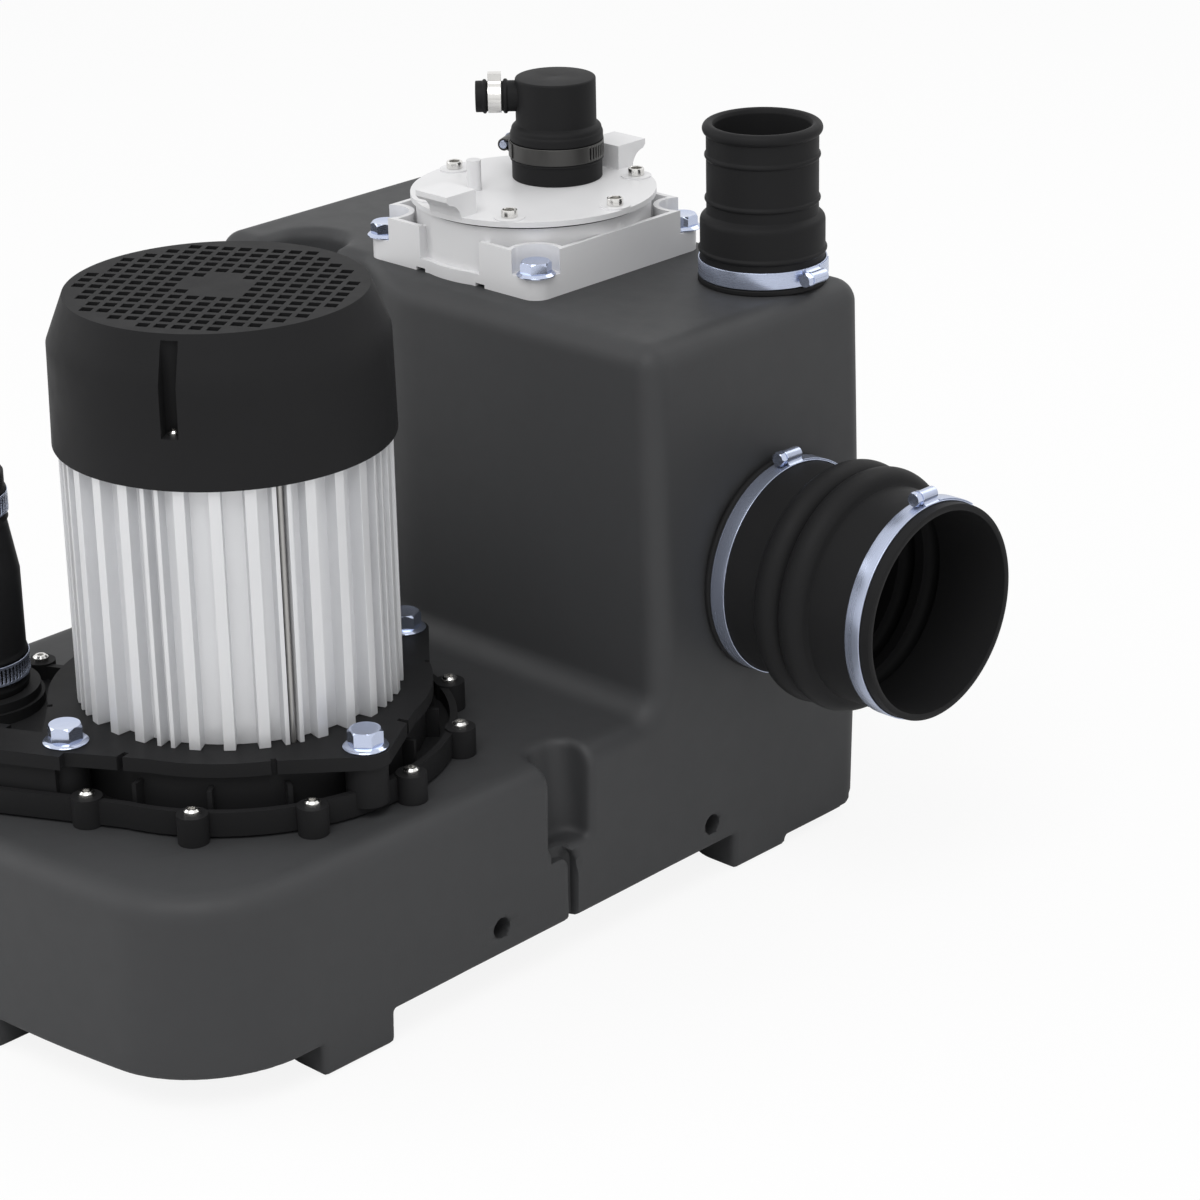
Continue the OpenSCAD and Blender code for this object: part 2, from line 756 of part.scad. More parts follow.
// The whole plate, with a lobe under the motor flange's arm
module flange_plan(inset) {
  flange_outline(rim_r - inset, discharge_pad_r - inset, discharge_pad_r - inset);
  rotate(discharge_deg) {
    translate(lobe) circle(lobe_r - inset);
    link([0, 0], rim_r - inset, lobe, lobe_r - inset);
  }
}
module pump_flange() color([0.12, 0.12, 0.125]) at_motor() difference() {
  union() {
    translate([0, 0, flange_z]) {
      linear_extrude(pump_flange_t) flange_plan(0);
      linear_extrude(rim_h) difference() {
        flange_plan(0);
        flange_plan(rim_t);
      }
    }
    flange_screw_places() disc(screw_boss_r, deck_z + fit_gap, rim_top + 1);
    ring(seat_wall_r, seat_wall_r - seat_wall_t, flange_top - lap, motor_flange_z);
    rotate(discharge_deg) translate([lobe[0] - arm_wall[0], arm_off + lap, flange_top - lap])
      cube([arm_wall[0], arm_wall[1], motor_flange_z - flange_top + lap]);
    motor_bolt_places() disc(pillar_r, flange_top - lap, motor_flange_z);
    disc(seal_boss_r, flange_z, flange_z + seal_h);
    translate(discharge) disc(valve_base_r + 2, flange_top - lap, pad_z);
    around(seat_rib_count, seat_wall_r - 2, seat_rib_deg) translate([0, -seat_rib[1] / 2, flange_top - lap])
      cube([seat_rib[0], seat_rib[1], motor_lift - rim_h + 1]);
  }
  disc(seal_r + fit_gap, flange_z - lap, flange_z + seal_h + lap);
  translate(discharge) disc(pump_outlet_r, flange_z - lap, pad_z + lap);
  flange_screw_places() disc(flange_screw_r + fit_gap, deck_z - lap, rim_top + 2);
  motor_bolt_places() disc(motor_bolt_r + fit_gap, flange_top + bolt_hole_floor, motor_flange_z + lap);
}
module flange_gasket() color([0.06, 0.06, 0.06]) at_motor() translate([0, 0, deck_z]) linear_extrude(gasket_t)
  difference() {
    neck_r = discharge_pad_r - gasket_inset;
    flange_outline(rim_r - gasket_inset, neck_r + gasket_pad_step, neck_r);
    flange_outline(deck_hole_r + 1, deck_pad_r + 1, deck_neck_r + 1);
  }
module flange_screws() color([0.75, 0.76, 0.78]) at_motor() flange_screw_places()
  translate([0, 0, rim_top + 1])
    pan_screw(flange_screw_head, flange_screw_r, rim_h + gasket_t + flange_screw_bite);

// Motor
module motor_flange_outline(r, lug) {
  circle(r);
  motor_bolt_places() circle(lug);
  for (i = [0 : motor_bolt_count - 1]) let (a = motor_bolt_deg + 360 / motor_bolt_count * i)
    link([0, 0], r, motor_bolt_pcr * [cos(a), sin(a)], lug);
  rotate(discharge_deg) {
    translate([lobe[0], arm_off]) circle(arm_r);
    translate([lobe[0] / 2, arm_off - arm_r]) square([lobe[0] / 2, 2 * arm_r]);
  }
}
module motor_flange() color([0.13, 0.13, 0.135]) at_motor() difference() {
  union() {
    translate([0, 0, motor_flange_z]) linear_extrude(motor_flange_t)
      motor_flange_outline(motor_flange_r, lug_r);
    disc(lower_bearing_r + bearing_seat_t, lower_bearing_z - bearing_lip, motor_flange_z + lap);
  }
  disc(lower_bearing_r + fit_gap, lower_bearing_z, housing_z + lap);
  disc(shaft_r + bearing_lip, lower_bearing_z - bearing_lip - lap, housing_z + lap);
  motor_bolt_places() disc(motor_bolt_r + fit_gap, motor_flange_z - lap, housing_z + lap);
  tie_rod_places() disc(tie_rod_r + fit_gap, motor_flange_z + 1, housing_z + lap);
  around(flange_notch_count, motor_flange_r - flange_notch[0], flange_notch_deg)
    translate([0, -flange_notch[1] / 2, motor_flange_z - lap])
      cube([lug_r, flange_notch[1], motor_flange_t + 1]);
}
module motor_bolts() color([0.72, 0.76, 0.86]) at_motor() motor_bolt_places() translate([0, 0, housing_z])
  flange_bolt(bolt_flange_r, bolt_af, bolt_head_h, motor_bolt_r, motor_flange_t + motor_bolt_bite);
module fin(w, deg) rotate(deg) translate([fin_root_r - 4, -w / 2]) square([fin_r - fin_root_r + 4, w]);
module motor_housing() color([0.86, 0.865, 0.87]) at_motor() translate([0, 0, housing_z])
  linear_extrude(housing_h) difference() {
    union() {
      circle(fin_root_r);
      for (g = [0 : fin_groups - 1]) let (mid = 360 / fin_groups * g) {
        for (k = [-1 : 1]) fin(fin_w, mid + k * fin_step_deg);
        for (s = [-1, 1]) fin(rib_w, mid + 180 / fin_groups + s * rib_split_deg);
      }
    }
    circle(stator_r + fit_gap);
  }
module tie_rods() color([0.55, 0.52, 0.48]) at_motor() tie_rod_places() {
  disc(tie_rod_r, motor_flange_z + 1 + fit_gap, housing_top + shield_t - tie_head_h + lap);
  disc(tie_head_r, housing_top + shield_t - tie_head_h, housing_top + shield_t);
}
module stator_core() color([0.45, 0.46, 0.48]) at_motor() difference() {
  ring(stator_r, rotor_r + air_gap, stator_z, stator_z + stator_l);
  around(stator_slot_count, rotor_r + air_gap + stator_slot_off)
    translate([-stator_slot[0] / 2, -stator_slot[1] / 2, stator_z - lap])
      cube([stator_slot[0], stator_slot[1], stator_l + 1]);
}
module stator_windings() color([0.72, 0.4, 0.2]) at_motor()
  for (z = [stator_z - winding_h, stator_z + stator_l])
    ring(stator_r - winding_inset[0], rotor_r + winding_inset[1], z, z + winding_h);
module upper_end_shield() color([0.8, 0.8, 0.81]) at_motor() difference() {
  union() {
    disc(shield_r, housing_top, housing_top + shield_t);
    disc(upper_bearing_r + shield_boss_t, upper_bearing_z - shield_lip_t, upper_bearing_z + upper_bearing_w);
    cap_screw_places() disc(cap_post_r, housing_top + lap, housing_top + shield_t + cap_post_h);
  }
  disc(upper_bearing_r + fit_gap, upper_bearing_z, upper_bearing_z + upper_bearing_w + lap);
  disc(upper_journal_r + journal_gap, upper_bearing_z - shield_lip_t - 1, upper_bearing_z + lap);
  cap_screw_places() disc(cap_screw_r + fit_gap, housing_top - lap, housing_top + shield_t + cap_post_h + lap);
  tie_rod_places() {
    disc(tie_rod_r + fit_gap, housing_top - lap, housing_top + shield_t);
    disc(tie_head_r + fit_gap, housing_top + shield_t - tie_head_h, housing_top + shield_t + lap);
  }
}
module bearing(bore_r, out_r, w) difference() {
  race = bearing_face_share * (out_r - bore_r);
  ring(out_r, bore_r, 0, w);
  for (z = [-lap, w - bearing_groove]) ring(out_r - race, bore_r + race, z, z + bearing_groove + lap);
}
module upper_bearing() color([0.7, 0.71, 0.73]) at_motor() translate([0, 0, upper_bearing_z])
  bearing(upper_journal_r, upper_bearing_r, upper_bearing_w);
module lower_bearing() color([0.7, 0.71, 0.73]) at_motor() translate([0, 0, lower_bearing_z])
  bearing(shaft_r, lower_bearing_r, lower_bearing_w);
module shaft_seal() color([0.1, 0.1, 0.1]) at_motor() ring(seal_r, shaft_r, flange_z, flange_z + seal_h);

// Rotor: everything here turns with the shaft
module rotor_shaft() color([0.66, 0.67, 0.69]) at_motor() {
  fan_shoulder_z = upper_bearing_z + upper_bearing_w + shoulder_gap;
  disc(nut_seat_r, cutter_z - nut_h - shoulder_gap, cutter_z + lap);
  disc(cutter_seat_r, cutter_z, cutter_z + cutter_t + lap);
  disc(impeller_seat_r, cutter_z + cutter_t, impeller_z + impeller_t + lap);
  disc(shaft_r - run_gap, impeller_z + impeller_t, housing_z + shoulder_gap + lap);
  disc(core_seat_r, housing_z + shoulder_gap, upper_bearing_z - core_overhang);
  disc(upper_journal_r - run_gap, upper_bearing_z - core_overhang - lap, fan_shoulder_z);
  disc(fan_seat_r, fan_shoulder_z - lap, fan_z + fan_h + shoulder_gap);
}
module rotor_core() color([0.5, 0.51, 0.53]) at_motor() difference() {
  union() {
    disc(rotor_r, stator_z, stator_z + stator_l);
    disc(rotor_r - end_ring_step, stator_z - core_overhang, stator_z + stator_l + core_overhang);
  }
  disc(core_seat_r, 0, tank_h + housing_h);
}
module cooling_fan() color([0.16, 0.16, 0.17]) at_motor() difference() {
  union() {
    disc(fan_seat_r + fan_hub_t, fan_z, fan_z + fan_h);
    disc(fan_r, fan_z, fan_z + fan_disc_t);
    around(fan_blades, fan_seat_r + fan_blade_inset) translate([0, -fan_blade_t / 2, fan_z + 1])
      cube([fan_r - fan_seat_r - fan_blade_inset - 1, fan_blade_t, fan_h - fan_blade_inset]);
  }
  disc(fan_seat_r, fan_z - lap, fan_z + fan_h + lap);
}
// Curved blade: the part of a ring that runs from the hub out to just inside the rim
module impeller_blade() {
  bend_r = impeller_r * blade_bend;
  translate([0, 0, impeller_z - blade_h + blade_step]) linear_extrude(blade_h) intersection() {
    translate(bend_r * blade_centre) difference() {
      circle(bend_r + blade_t / 2);
      circle(bend_r - blade_t / 2);
    }
    circle(impeller_r - 1);
    translate([bend_r * blade_start[0], impeller_r * blade_start[1]]) square(2 * impeller_r);
  }
}
module impeller() color([0.42, 0.43, 0.45]) at_motor() difference() {
  union() {
    disc(impeller_r, impeller_z, impeller_z + impeller_t);
    disc(impeller_seat_r + impeller_hub_t, impeller_z - blade_h, impeller_z + impeller_t);
    for (i = [0 : blade_count - 1]) rotate(360 / blade_count * i) impeller_blade();
  }
  disc(impeller_seat_r, impeller_z - blade_h - lap, impeller_z + impeller_t + lap);
}
module cutter_blade() color([0.74, 0.75, 0.77]) at_motor() difference() {
  union() {
    disc(cutter_seat_r + cutter_hub_t, cutter_z, cutter_z + cutter_t);
    for (s = [0, 180]) rotate(s) translate([0, 0, cutter_z]) linear_extrude(cutter_t) intersection() {
      circle(suction_r - cutter_gap);
      polygon([
        [0, -cutter_seat_r], [suction_r, -cutter_tip[0]], [suction_r, cutter_tip[1]], [0, cutter_seat_r]
      ]);
    }
  }
  disc(cutter_seat_r, cutter_z - lap, cutter_z + cutter_t + lap);
}
module impeller_nut() color([0.7, 0.71, 0.73]) at_motor() difference() {
  translate([0, 0, cutter_z - nut_h]) cylinder(r = nut_r, h = nut_h, $fn = 6);
  disc(nut_seat_r, cutter_z - nut_h - lap, cutter_z + lap);
}

// Fan cap: a shouldered bell with a square-holed grille and slots for its screws
module grille() difference() {
  circle(grille_r + slab);
  rotate(grille_deg) for (i = [-grille_reach : grille_reach], j = [-grille_reach : grille_reach]) {
    p = grille_shift + [i * grille_pitch[0], j * grille_pitch[1]];
    if (norm(p) < grille_r - grille_hole[0] / 2 - 1 && norm(p) > grille_blank_r)
      translate(p) square(grille_hole, center = true);
  }
}
// Solid with the cap's outline, drawn in all round by an inset
module cap_bell(inset) rotate_extrude() polygon([
  [0, fan_cap_z - inset], [fan_cap_r - inset, fan_cap_z - inset],
  [fan_cap_r - fan_cap_lean - inset, fan_cap_shoulder_z - inset / 4],
  [fan_cap_top_r - inset / 2, fan_cap_top - inset], [0, fan_cap_top - inset]
]);
// Round-backed slot, open outwards
module cap_slot(r) {
  circle(r);
  translate([0, -r + slab]) square([2 * cap_slot_w, 2 * (r - slab)]);
}
module fan_cap() color([0.13, 0.13, 0.135]) at_motor() {
  top_plate_z = fan_cap_top - fan_cap_wall;
  difference() {
    union() {
      difference() {
        cap_bell(0);
        cap_bell(fan_cap_wall);
      }
      intersection() {
        cap_bell(slab);
        cap_screw_places() translate([0, 0, cap_slot_floor_z])
          linear_extrude(top_plate_z + lap - cap_slot_floor_z) cap_slot(cap_slot_w / 2 + fan_cap_wall);
      }
    }
    cap_screw_places() {
      translate([0, 0, cap_slot_floor_z + cap_slot_floor_t])
        linear_extrude(top_plate_z - 1 - cap_slot_floor_z - cap_slot_floor_t) cap_slot(cap_slot_w / 2);
      disc(cap_screw_r + fit_gap, cap_slot_floor_z - lap, cap_slot_floor_z + cap_slot_floor_t + lap);
    }
    disc(grille_r, top_plate_z - lap, fan_cap_top + lap);
  }
  translate([0, 0, top_plate_z]) linear_extrude(fan_cap_wall) grille();
}
module cap_screws() color([0.78, 0.79, 0.8]) at_motor() cap_screw_places()
  translate([0, 0, cap_slot_floor_z + cap_slot_floor_t])
    pan_screw(cap_screw_head, cap_screw_r, cap_slot_floor_t + cap_post_h - 1);

// Pump casing: a spiral chamber with an open suction mouth and a pipe bend up to the discharge pad
function spiral(grow, deg) = let (r = spiral_r + grow + spiral_growth * deg / 360) r * [cos(deg), sin(deg)];
module spiral_outline(grow) {
  rotate(discharge_deg - spiral_start_deg)
    polygon([for (i = [0 : spiral_points]) spiral(grow, i * 360 / spiral_points)]);
}
module outlet_run(r, z0, z1, bend_r) {
  root = spiral_r - outlet_root;
  translate([0, 0, outlet_z]) rotate(discharge_deg) translate([root, 0, 0]) rotate([0, 90, 0])
    cylinder(r = r, h = norm(discharge) - root);
  translate(discharge) disc(bend_r, z0, z1);
}
module pump_volute() color([0.2, 0.2, 0.21]) at_motor() difference() {
  pipe_r = outlet_r + outlet_wall;
  union() {
    translate([0, 0, chamber_z - casing_wall]) linear_extrude(chamber_h + 2 * casing_wall)
      spiral_outline(casing_wall);
    disc(seal_r + volute_boss_t, chamber_top, volute_top);
    around(volute_post_count, spiral_r - volute_post_in, 45) disc(volute_post_r, chamber_top, volute_top);
    outlet_run(pipe_r, outlet_z - pipe_r - outlet_floor - lap, volute_top, pump_outlet_r + outlet_wall);
  }
  translate([0, 0, chamber_z]) linear_extrude(chamber_h) spiral_outline(0);
  disc(suction_r + cutter_ring_wall + fit_gap, chamber_z - casing_wall - lap, chamber_z + lap);
  disc(shaft_r + bearing_lip, chamber_top - lap, volute_top + lap);
  outlet_run(outlet_r, outlet_z - outlet_r - outlet_floor, volute_top + lap, pump_outlet_r);
}
module cutter_ring() color([0.68, 0.69, 0.71]) at_motor() difference() {
  union() {
    ring(suction_r + cutter_ring_wall, suction_r, cutter_ring_z, cutter_ring_z + cutter_ring_h);
    ring(suction_r + cutter_ring_wall + cutter_ring_lip, suction_r,
      cutter_ring_z + cutter_ring_step, chamber_z - casing_wall);
  }
  around(cutter_notch_count, suction_r) translate([-2, -cutter_notch[1] / 2, cutter_ring_z - lap])
    cube([cutter_notch[0], cutter_notch[1], cutter_ring_h - cutter_ring_step]);
}

// Check valve under the discharge hose
module check_valve_body() color([0.14, 0.14, 0.145]) at_discharge() difference() {
  union() {
    disc(valve_base_r, pad_z, pad_z + valve_base_t);
    disc(valve_spigot_r, pad_z, pad_z + valve_base_t + valve_spigot_h);
  }
  disc(valve_seat_r, pad_z - lap, valve_seat_z + lap);
  disc(valve_bore_r, valve_seat_z, pad_z + valve_base_t + valve_spigot_h + lap);
  rotate(valve_deg) translate([hinge_off, pin_l / 2, hinge_z]) rotate([90, 0, 0])
    cylinder(r = flap_pin_r + pin_fit, h = pin_l);
}
module valve_flap() color([0.08, 0.08, 0.08]) at_discharge() rotate(valve_deg) difference() {
  union() {
    intersection() {
      disc(flap_r, valve_seat_z + flap_lift, valve_seat_z + flap_lift + flap_t);
      translate([-2 * flap_r, -flap_r, 0]) cube([2 * flap_r + hinge_off - lap, 2 * flap_r, hinge_z]);
    }
    translate([hinge_off, knuckle_l / 2, hinge_z]) rotate([90, 0, 0]) cylinder(r = knuckle_r, h = knuckle_l);
    translate([hinge_off - flap_arm[0], -knuckle_l / 2, valve_seat_z + flap_lift + flap_t - 1])
      cube([flap_arm[0], knuckle_l, flap_arm[1]]);
  }
  translate([hinge_off, pin_l / 2, hinge_z]) rotate([90, 0, 0]) cylinder(r = flap_pin_r + run_gap, h = pin_l);
}
module flap_pin() color([0.75, 0.76, 0.78]) at_discharge() rotate(valve_deg)
  translate([hinge_off, pin_l / 2, hinge_z]) rotate([90, 0, 0]) cylinder(r = flap_pin_r, h = pin_l);
module discharge_hose() color([0.09, 0.09, 0.095]) at_discharge() {
  w = hose_wall;
  rotate_extrude() polygon([
    [hose_low_r, hose_z], [hose_low_r + w, hose_z], [hose_low_r + w, hose_cone_z],
    [hose_bore_r + w, hose_cone_z + hose_cone_h], [hose_bore_r + w, hose_z + hose_l],
    [hose_bore_r, hose_z + hose_l], [hose_bore_r, hose_cone_z + hose_cone_h], [hose_low_r, hose_cone_z]
  ]);
}
module lower_clamp_place() at_discharge() translate([0, 0, lower_band_z]) rotate(hose_clamp_deg) children();
module upper_clamp_place() at_discharge() translate([0, 0, upper_band_z]) rotate(hose_clamp_deg) children();
module discharge_clamp_lower() color([0.6, 0.63, 0.72]) lower_clamp_place()
  clamp_band(lower_clamp_r, hose_band_w);
module discharge_clamp_upper() color([0.6, 0.63, 0.72]) upper_clamp_place()
  clamp_band(upper_clamp_r, hose_band_w);

// Cover: a square base with bolt pockets, and a round lid on an inner ring
module rounded_square(half, r) {
  square([2 * half, 2 * (half - r)], center = true);
  square([2 * (half - r), 2 * half], center = true);
  for (x = [-1, 1], y = [-1, 1]) translate([x * (half - r), y * (half - r)]) circle(r);
}
module cover_base() color([0.93, 0.93, 0.94]) at_cover() difference() {
  union() {
    translate([0, 0, tank_h]) linear_extrude(cover_sill_h) {
      rounded_square(cover_half, cover_corner_r);
      circle(lid_r);
    }
    translate([0, 0, tank_h]) linear_extrude(cover_wall_h) {
      difference() {
        rounded_square(cover_half, cover_corner_r);
        rounded_square(cover_half - cover_wall_t, cover_corner_r - cover_wall_t);
      }
      intersection() {
        rounded_square(cover_half, cover_corner_r);
        union() cover_corners() circle(pocket_r + cover_wall_t);
      }
    }
    ring(cover_ring_r, cover_ring_r - cover_ring_t, tank_h, lid_z - lid_seal_t);
    for (x = [-1, 1], y = [-1, 1])
      translate([x * (cover_opening_w + cover_wall_t), y * (2 * cover_half - cover_web_l - 1)] / 2)
        translate([-cover_wall_t / 2, -cover_web_l / 2, tank_h + 1])
          cube([cover_wall_t, cover_web_l, cover_wall_h - 2]);
    lid_screw_places() disc(lid_post_r, tank_h + 1, lid_z - lid_seal_t);
  }
  translate([0, 0, -lap]) {
    disc(cover_ring_r - cover_ring_t, tank_h, lid_top);
    cover_corners() disc(pocket_r, tank_h + cover_ledge_h + lap, lid_top);
    cover_corners() disc(cover_bolt_r + fit_gap, tank_h, lid_top);
  }
  for (x = [-1, 1], y = [-1, 1])
    translate([x * cover_half - pocket_r / 2, y * cover_half - pocket_r / 2, tank_h + cover_ledge_h])
      cube([pocket_r, pocket_r, cover_wall_h]);
  difference() {
    for (s = [-1, 1]) translate([0, s * (cover_half + cover_wall_t), tank_h + cover_sill_h])
      translate([-cover_opening_w / 2, -2 * cover_wall_t, 0])
        cube([cover_opening_w, 4 * cover_wall_t, cover_wall_h]);
    disc(cover_ring_r - slab, tank_h, 2 * tank_h);
  }
  for (s = [-1, 1])
    translate([s * cover_opening_w / 2 - cover_slot[0] / 2, -cover_half - lap, tank_h - lap])
      cube([cover_slot[0], cover_slot[1], cover_slot[2] + lap]);
  lid_screw_places() disc(lid_screw_r + fit_gap, lid_z - lid_screw_l, lid_z + lap);
  ring(cover_hole_r + seal_groove[1], cover_hole_r + seal_groove[0], tank_h - lap, tank_h + seal_groove[2]);
}
module cover_gasket() color([0.08, 0.08, 0.08]) at_cover()
  ring(cover_hole_r + seal_groove[1] - fit_gap, cover_hole_r + seal_groove[0] + fit_gap,
    tank_h, tank_h + seal_groove[2] - fit_gap);
module cover_bolts() color([0.72, 0.76, 0.86]) at_cover() cover_corners()
  translate([0, 0, tank_h + cover_ledge_h])
    flange_bolt(cover_bolt_flange_r, cover_bolt_af, cover_bolt_head_h, cover_bolt_r, cover_bolt_l);
// Finger grip on the lid's rim, scooped out underneath
module lid_grip() rotate([90, 0, 90]) translate([0, 0, -grip_w / 2]) linear_extrude(grip_w) difference() {
  polygon([
    [lid_r - grip_root, lid_z + 1], [lid_r - 2, lid_z + 1], [lid_r + grip_reach, lid_top + grip_h - grip_lip],
    [lid_r + grip_reach, lid_top + grip_h], [lid_r - grip_root, lid_top + grip_h]
  ]);
  translate([lid_r + grip_reach - 1, lid_z + 2]) circle(grip_scoop_r);
}
module lid() color([0.93, 0.93, 0.94]) at_cover() difference() {
  union() {
    disc(lid_r, lid_z, lid_top);
    lid_screw_places() disc(lid_pad_r, lid_z + lap, lid_top + lid_pad_h);
    for (a = [0, 180]) rotate(a) lid_grip();
    translate(lid_mark_post) disc(lid_mark_r, lid_top - lap, lid_top + lid_mark_h);
    translate([cap_dx, cap_dy, 0]) disc(cap_spigot_r, lid_top - lap, lid_top + cap_spigot_h);
  }
  translate([cap_dx, cap_dy, 0]) disc(dip_tube_r + fit_gap, lid_z - lap, lid_top + cap_spigot_h + lap);
  lid_screw_places() disc(lid_screw_r + fit_gap, lid_z - lap, lid_top + 2);
}
module lid_seal() color([0.08, 0.08, 0.08]) at_cover() difference() {
  ring(cover_ring_r, cover_ring_r - cover_ring_t - lid_seal_in, lid_z - lid_seal_t, lid_z);
  lid_screw_places() disc(lid_screw_r + fit_gap, lid_z - lid_seal_t - lap, lid_z + lap);
}
module lid_screws() color([0.78, 0.79, 0.8]) at_cover() lid_screw_places()
  translate([0, 0, lid_top + lid_pad_h]) socket_screw(lid_screw_head, lid_screw_r, lid_screw_l);
module dip_tube() color([0.9, 0.9, 0.91]) at_cap() {
  ring(dip_tube_r, dip_tube_r - dip_tube_wall, dip_tube_end_z, lid_top + cap_spigot_h - 1);
  ring(dip_tube_r + dip_flange[0], dip_tube_r - dip_tube_wall, lid_z - dip_flange[1], lid_z);
}
// Rubber cap over the lid's spigot, with beads either side of its clamp and a small side spigot
module rounded_step(r, z0, z1, round_r) {
  translate([0, z0]) square([r, z1 - z0 - round_r]);
  translate([0, z0]) square([r - round_r, z1 - z0]);
  translate([r - round_r, z1 - round_r]) circle(round_r);
}
module sensing_cap() color([0.09, 0.09, 0.095]) at_cap() {
  low_in = cap_spigot_r + fit_gap;
  low_r = low_in + cap_rubber_wall;
  difference() {
    union() {
      rotate_extrude() {
        rounded_step(low_r, lid_top, lid_top + cap_low_h, cap_low_round);
        rounded_step(cap_high_r, lid_top + cap_low_h / 2, lid_top + cap_h, cap_top_round);
        for (z = [-bead_off, band_w + bead_off])
          translate([low_r - bead_sink, vent_band_z + z]) circle(bead_r);
      }
      translate([0, 0, side_spigot_z]) rotate([0, 90, side_spigot_deg]) {
        cylinder(r = side_spigot_r, h = side_spigot_l);
        for (x = [clip_off - bead_off, clip_off + clip_w + bead_off]) translate([0, 0, x]) rotate_extrude()
          translate([side_spigot_r - bead_sink, 0]) circle(bead_r);
      }
    }
    disc(low_in, lid_top - lap, lid_top + cap_spigot_h + fit_gap);
    disc(cap_high_r - cap_rubber_wall, lid_top, lid_top + cap_h - cap_rubber_wall);
    translate([0, 0, side_spigot_z]) rotate([0, 90, side_spigot_deg])
      cylinder(r = side_spigot_bore_r, h = side_spigot_l + lap);
  }
}
module cap_clamp_place() at_cap() translate([0, 0, vent_band_z]) rotate(cap_clamp_deg) children();
module sensing_cap_clamp() color([0.2, 0.2, 0.205]) cap_clamp_place() clamp_band(cap_clamp_r, band_w);
module hose_clip() color([0.86, 0.85, 0.84]) at_cap() translate([0, 0, side_spigot_z])
  rotate([0, 90, side_spigot_deg]) translate([0, 0, clip_off]) {
    ring(side_spigot_r + fit_gap + band_t, side_spigot_r + fit_gap, 0, clip_w);
    translate([-side_spigot_r - fit_gap - clip_ear_h, -clip_ear_w / 2, 0]) difference() {
      cube([clip_ear_h - fit_gap, clip_ear_w, clip_w]);
      translate([clip_t, clip_t, -lap]) cube([clip_ear_h, clip_ear_w - 2 * clip_t, clip_w + 1]);
    }
  }

// Inlet sleeves: the side one has two round convolutions, hollow inside
module side_sleeve() color([0.09, 0.09, 0.095]) at_side_inlet() {
  rotate_extrude() difference() {
    union() {
      translate([side_bore_r, wall_gap]) square([sleeve_wall, side_sleeve_l - wall_gap]);
      translate([side_bore_r, wall_gap]) square([sleeve_wall + side_lip_h, side_lip_l - wall_gap]);
      for (z = crest_off) translate([side_bore_r, z]) circle(crest_r);
    }
    translate([0, -lap]) square([side_bore_r, side_sleeve_l + 1]);
    for (z = crest_off) translate([side_bore_r, z]) circle(crest_r - sleeve_wall);
  }
}
module side_inner_place() at_side_inlet() translate([0, 0, side_inner_band]) rotate(side_clamp_deg) children();
module side_outer_place() at_side_inlet() translate([0, 0, side_outer_band]) rotate(side_clamp_deg) children();
module side_clamp_inner() color([0.72, 0.76, 0.86]) side_inner_place() clamp_band(side_clamp_r, band_w);
module side_clamp_outer() color([0.72, 0.76, 0.86]) side_outer_place() clamp_band(side_clamp_r, band_w);
module top_sleeve() color([0.09, 0.09, 0.095]) at_top_inlet() rotate_extrude() difference() {
  union() {
    rounded_step(top_low_r, fit_gap, top_shoulder_z, top_low_r - top_out_r - slab);
    translate([0, top_stub_l]) square([top_out_r, top_sleeve_h - top_stub_l - top_lip_r]);
    translate([top_out_r + top_lip_h - top_lip_r, top_sleeve_h - top_lip_r]) circle(top_lip_r);
    for (z = top_bead_z) translate([top_out_r - bead_sink, z]) circle(bead_r);
    translate([top_low_r - bead_sink, top_low_bead_z]) circle(bead_r);
    translate([0, fit_gap]) square([top_low_r + top_foot_h, top_band_off - fit_gap - lap]);
  }
  translate([0, top_stub_l + 1]) square([top_bore_r, top_sleeve_h]);
  translate([0, -lap]) square([top_stub_r + fit_gap, top_stub_l + 2]);
}
module top_clamp_place() at_top_inlet() translate([0, 0, top_band_off]) rotate(top_clamp_deg) children();
module top_clamp() color([0.72, 0.76, 0.86]) top_clamp_place() clamp_band(top_clamp_r, band_w);
module clamp_screws() color([0.74, 0.77, 0.84]) {
  lower_clamp_place() clamp_screw(lower_clamp_r, hose_band_w);
  upper_clamp_place() clamp_screw(upper_clamp_r, hose_band_w);
  cap_clamp_place() clamp_screw(cap_clamp_r, band_w);
  side_inner_place() clamp_screw(side_clamp_r, band_w);
  side_outer_place() clamp_screw(side_clamp_r, band_w);
  top_clamp_place() clamp_screw(top_clamp_r, band_w);
}

place() tank();
place() pump_flange();
place() flange_gasket();
place() flange_screws();
place() motor_flange();
place() motor_bolts();
place() motor_housing();
place() tie_rods();
place() stator_core();
place() stator_windings();
place() upper_end_shield();
place() upper_bearing();
place() lower_bearing();
place() shaft_seal();
place() rotor_shaft();
place() rotor_core();
place() cooling_fan();
place() fan_cap();
place() cap_screws();
place() pump_volute();
place() impeller();
place() cutter_blade();
place() cutter_ring();
place() impeller_nut();
place() check_valve_body();
place() valve_flap();
place() flap_pin();
place() discharge_hose();
place() discharge_clamp_lower();
place() discharge_clamp_upper();
place() cover_base();
place() cover_gasket();
place() cover_bolts();
place() lid();
place() lid_seal();
place() lid_screws();
place() dip_tube();
place() sensing_cap();
place() sensing_cap_clamp();
place() hose_clip();
place() side_sleeve();
place() side_clamp_inner();
place() side_clamp_outer();
place() top_sleeve();
place() top_clamp();
place() clamp_screws();
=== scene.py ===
"""Looks of a macerator toilet pump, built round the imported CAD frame."""

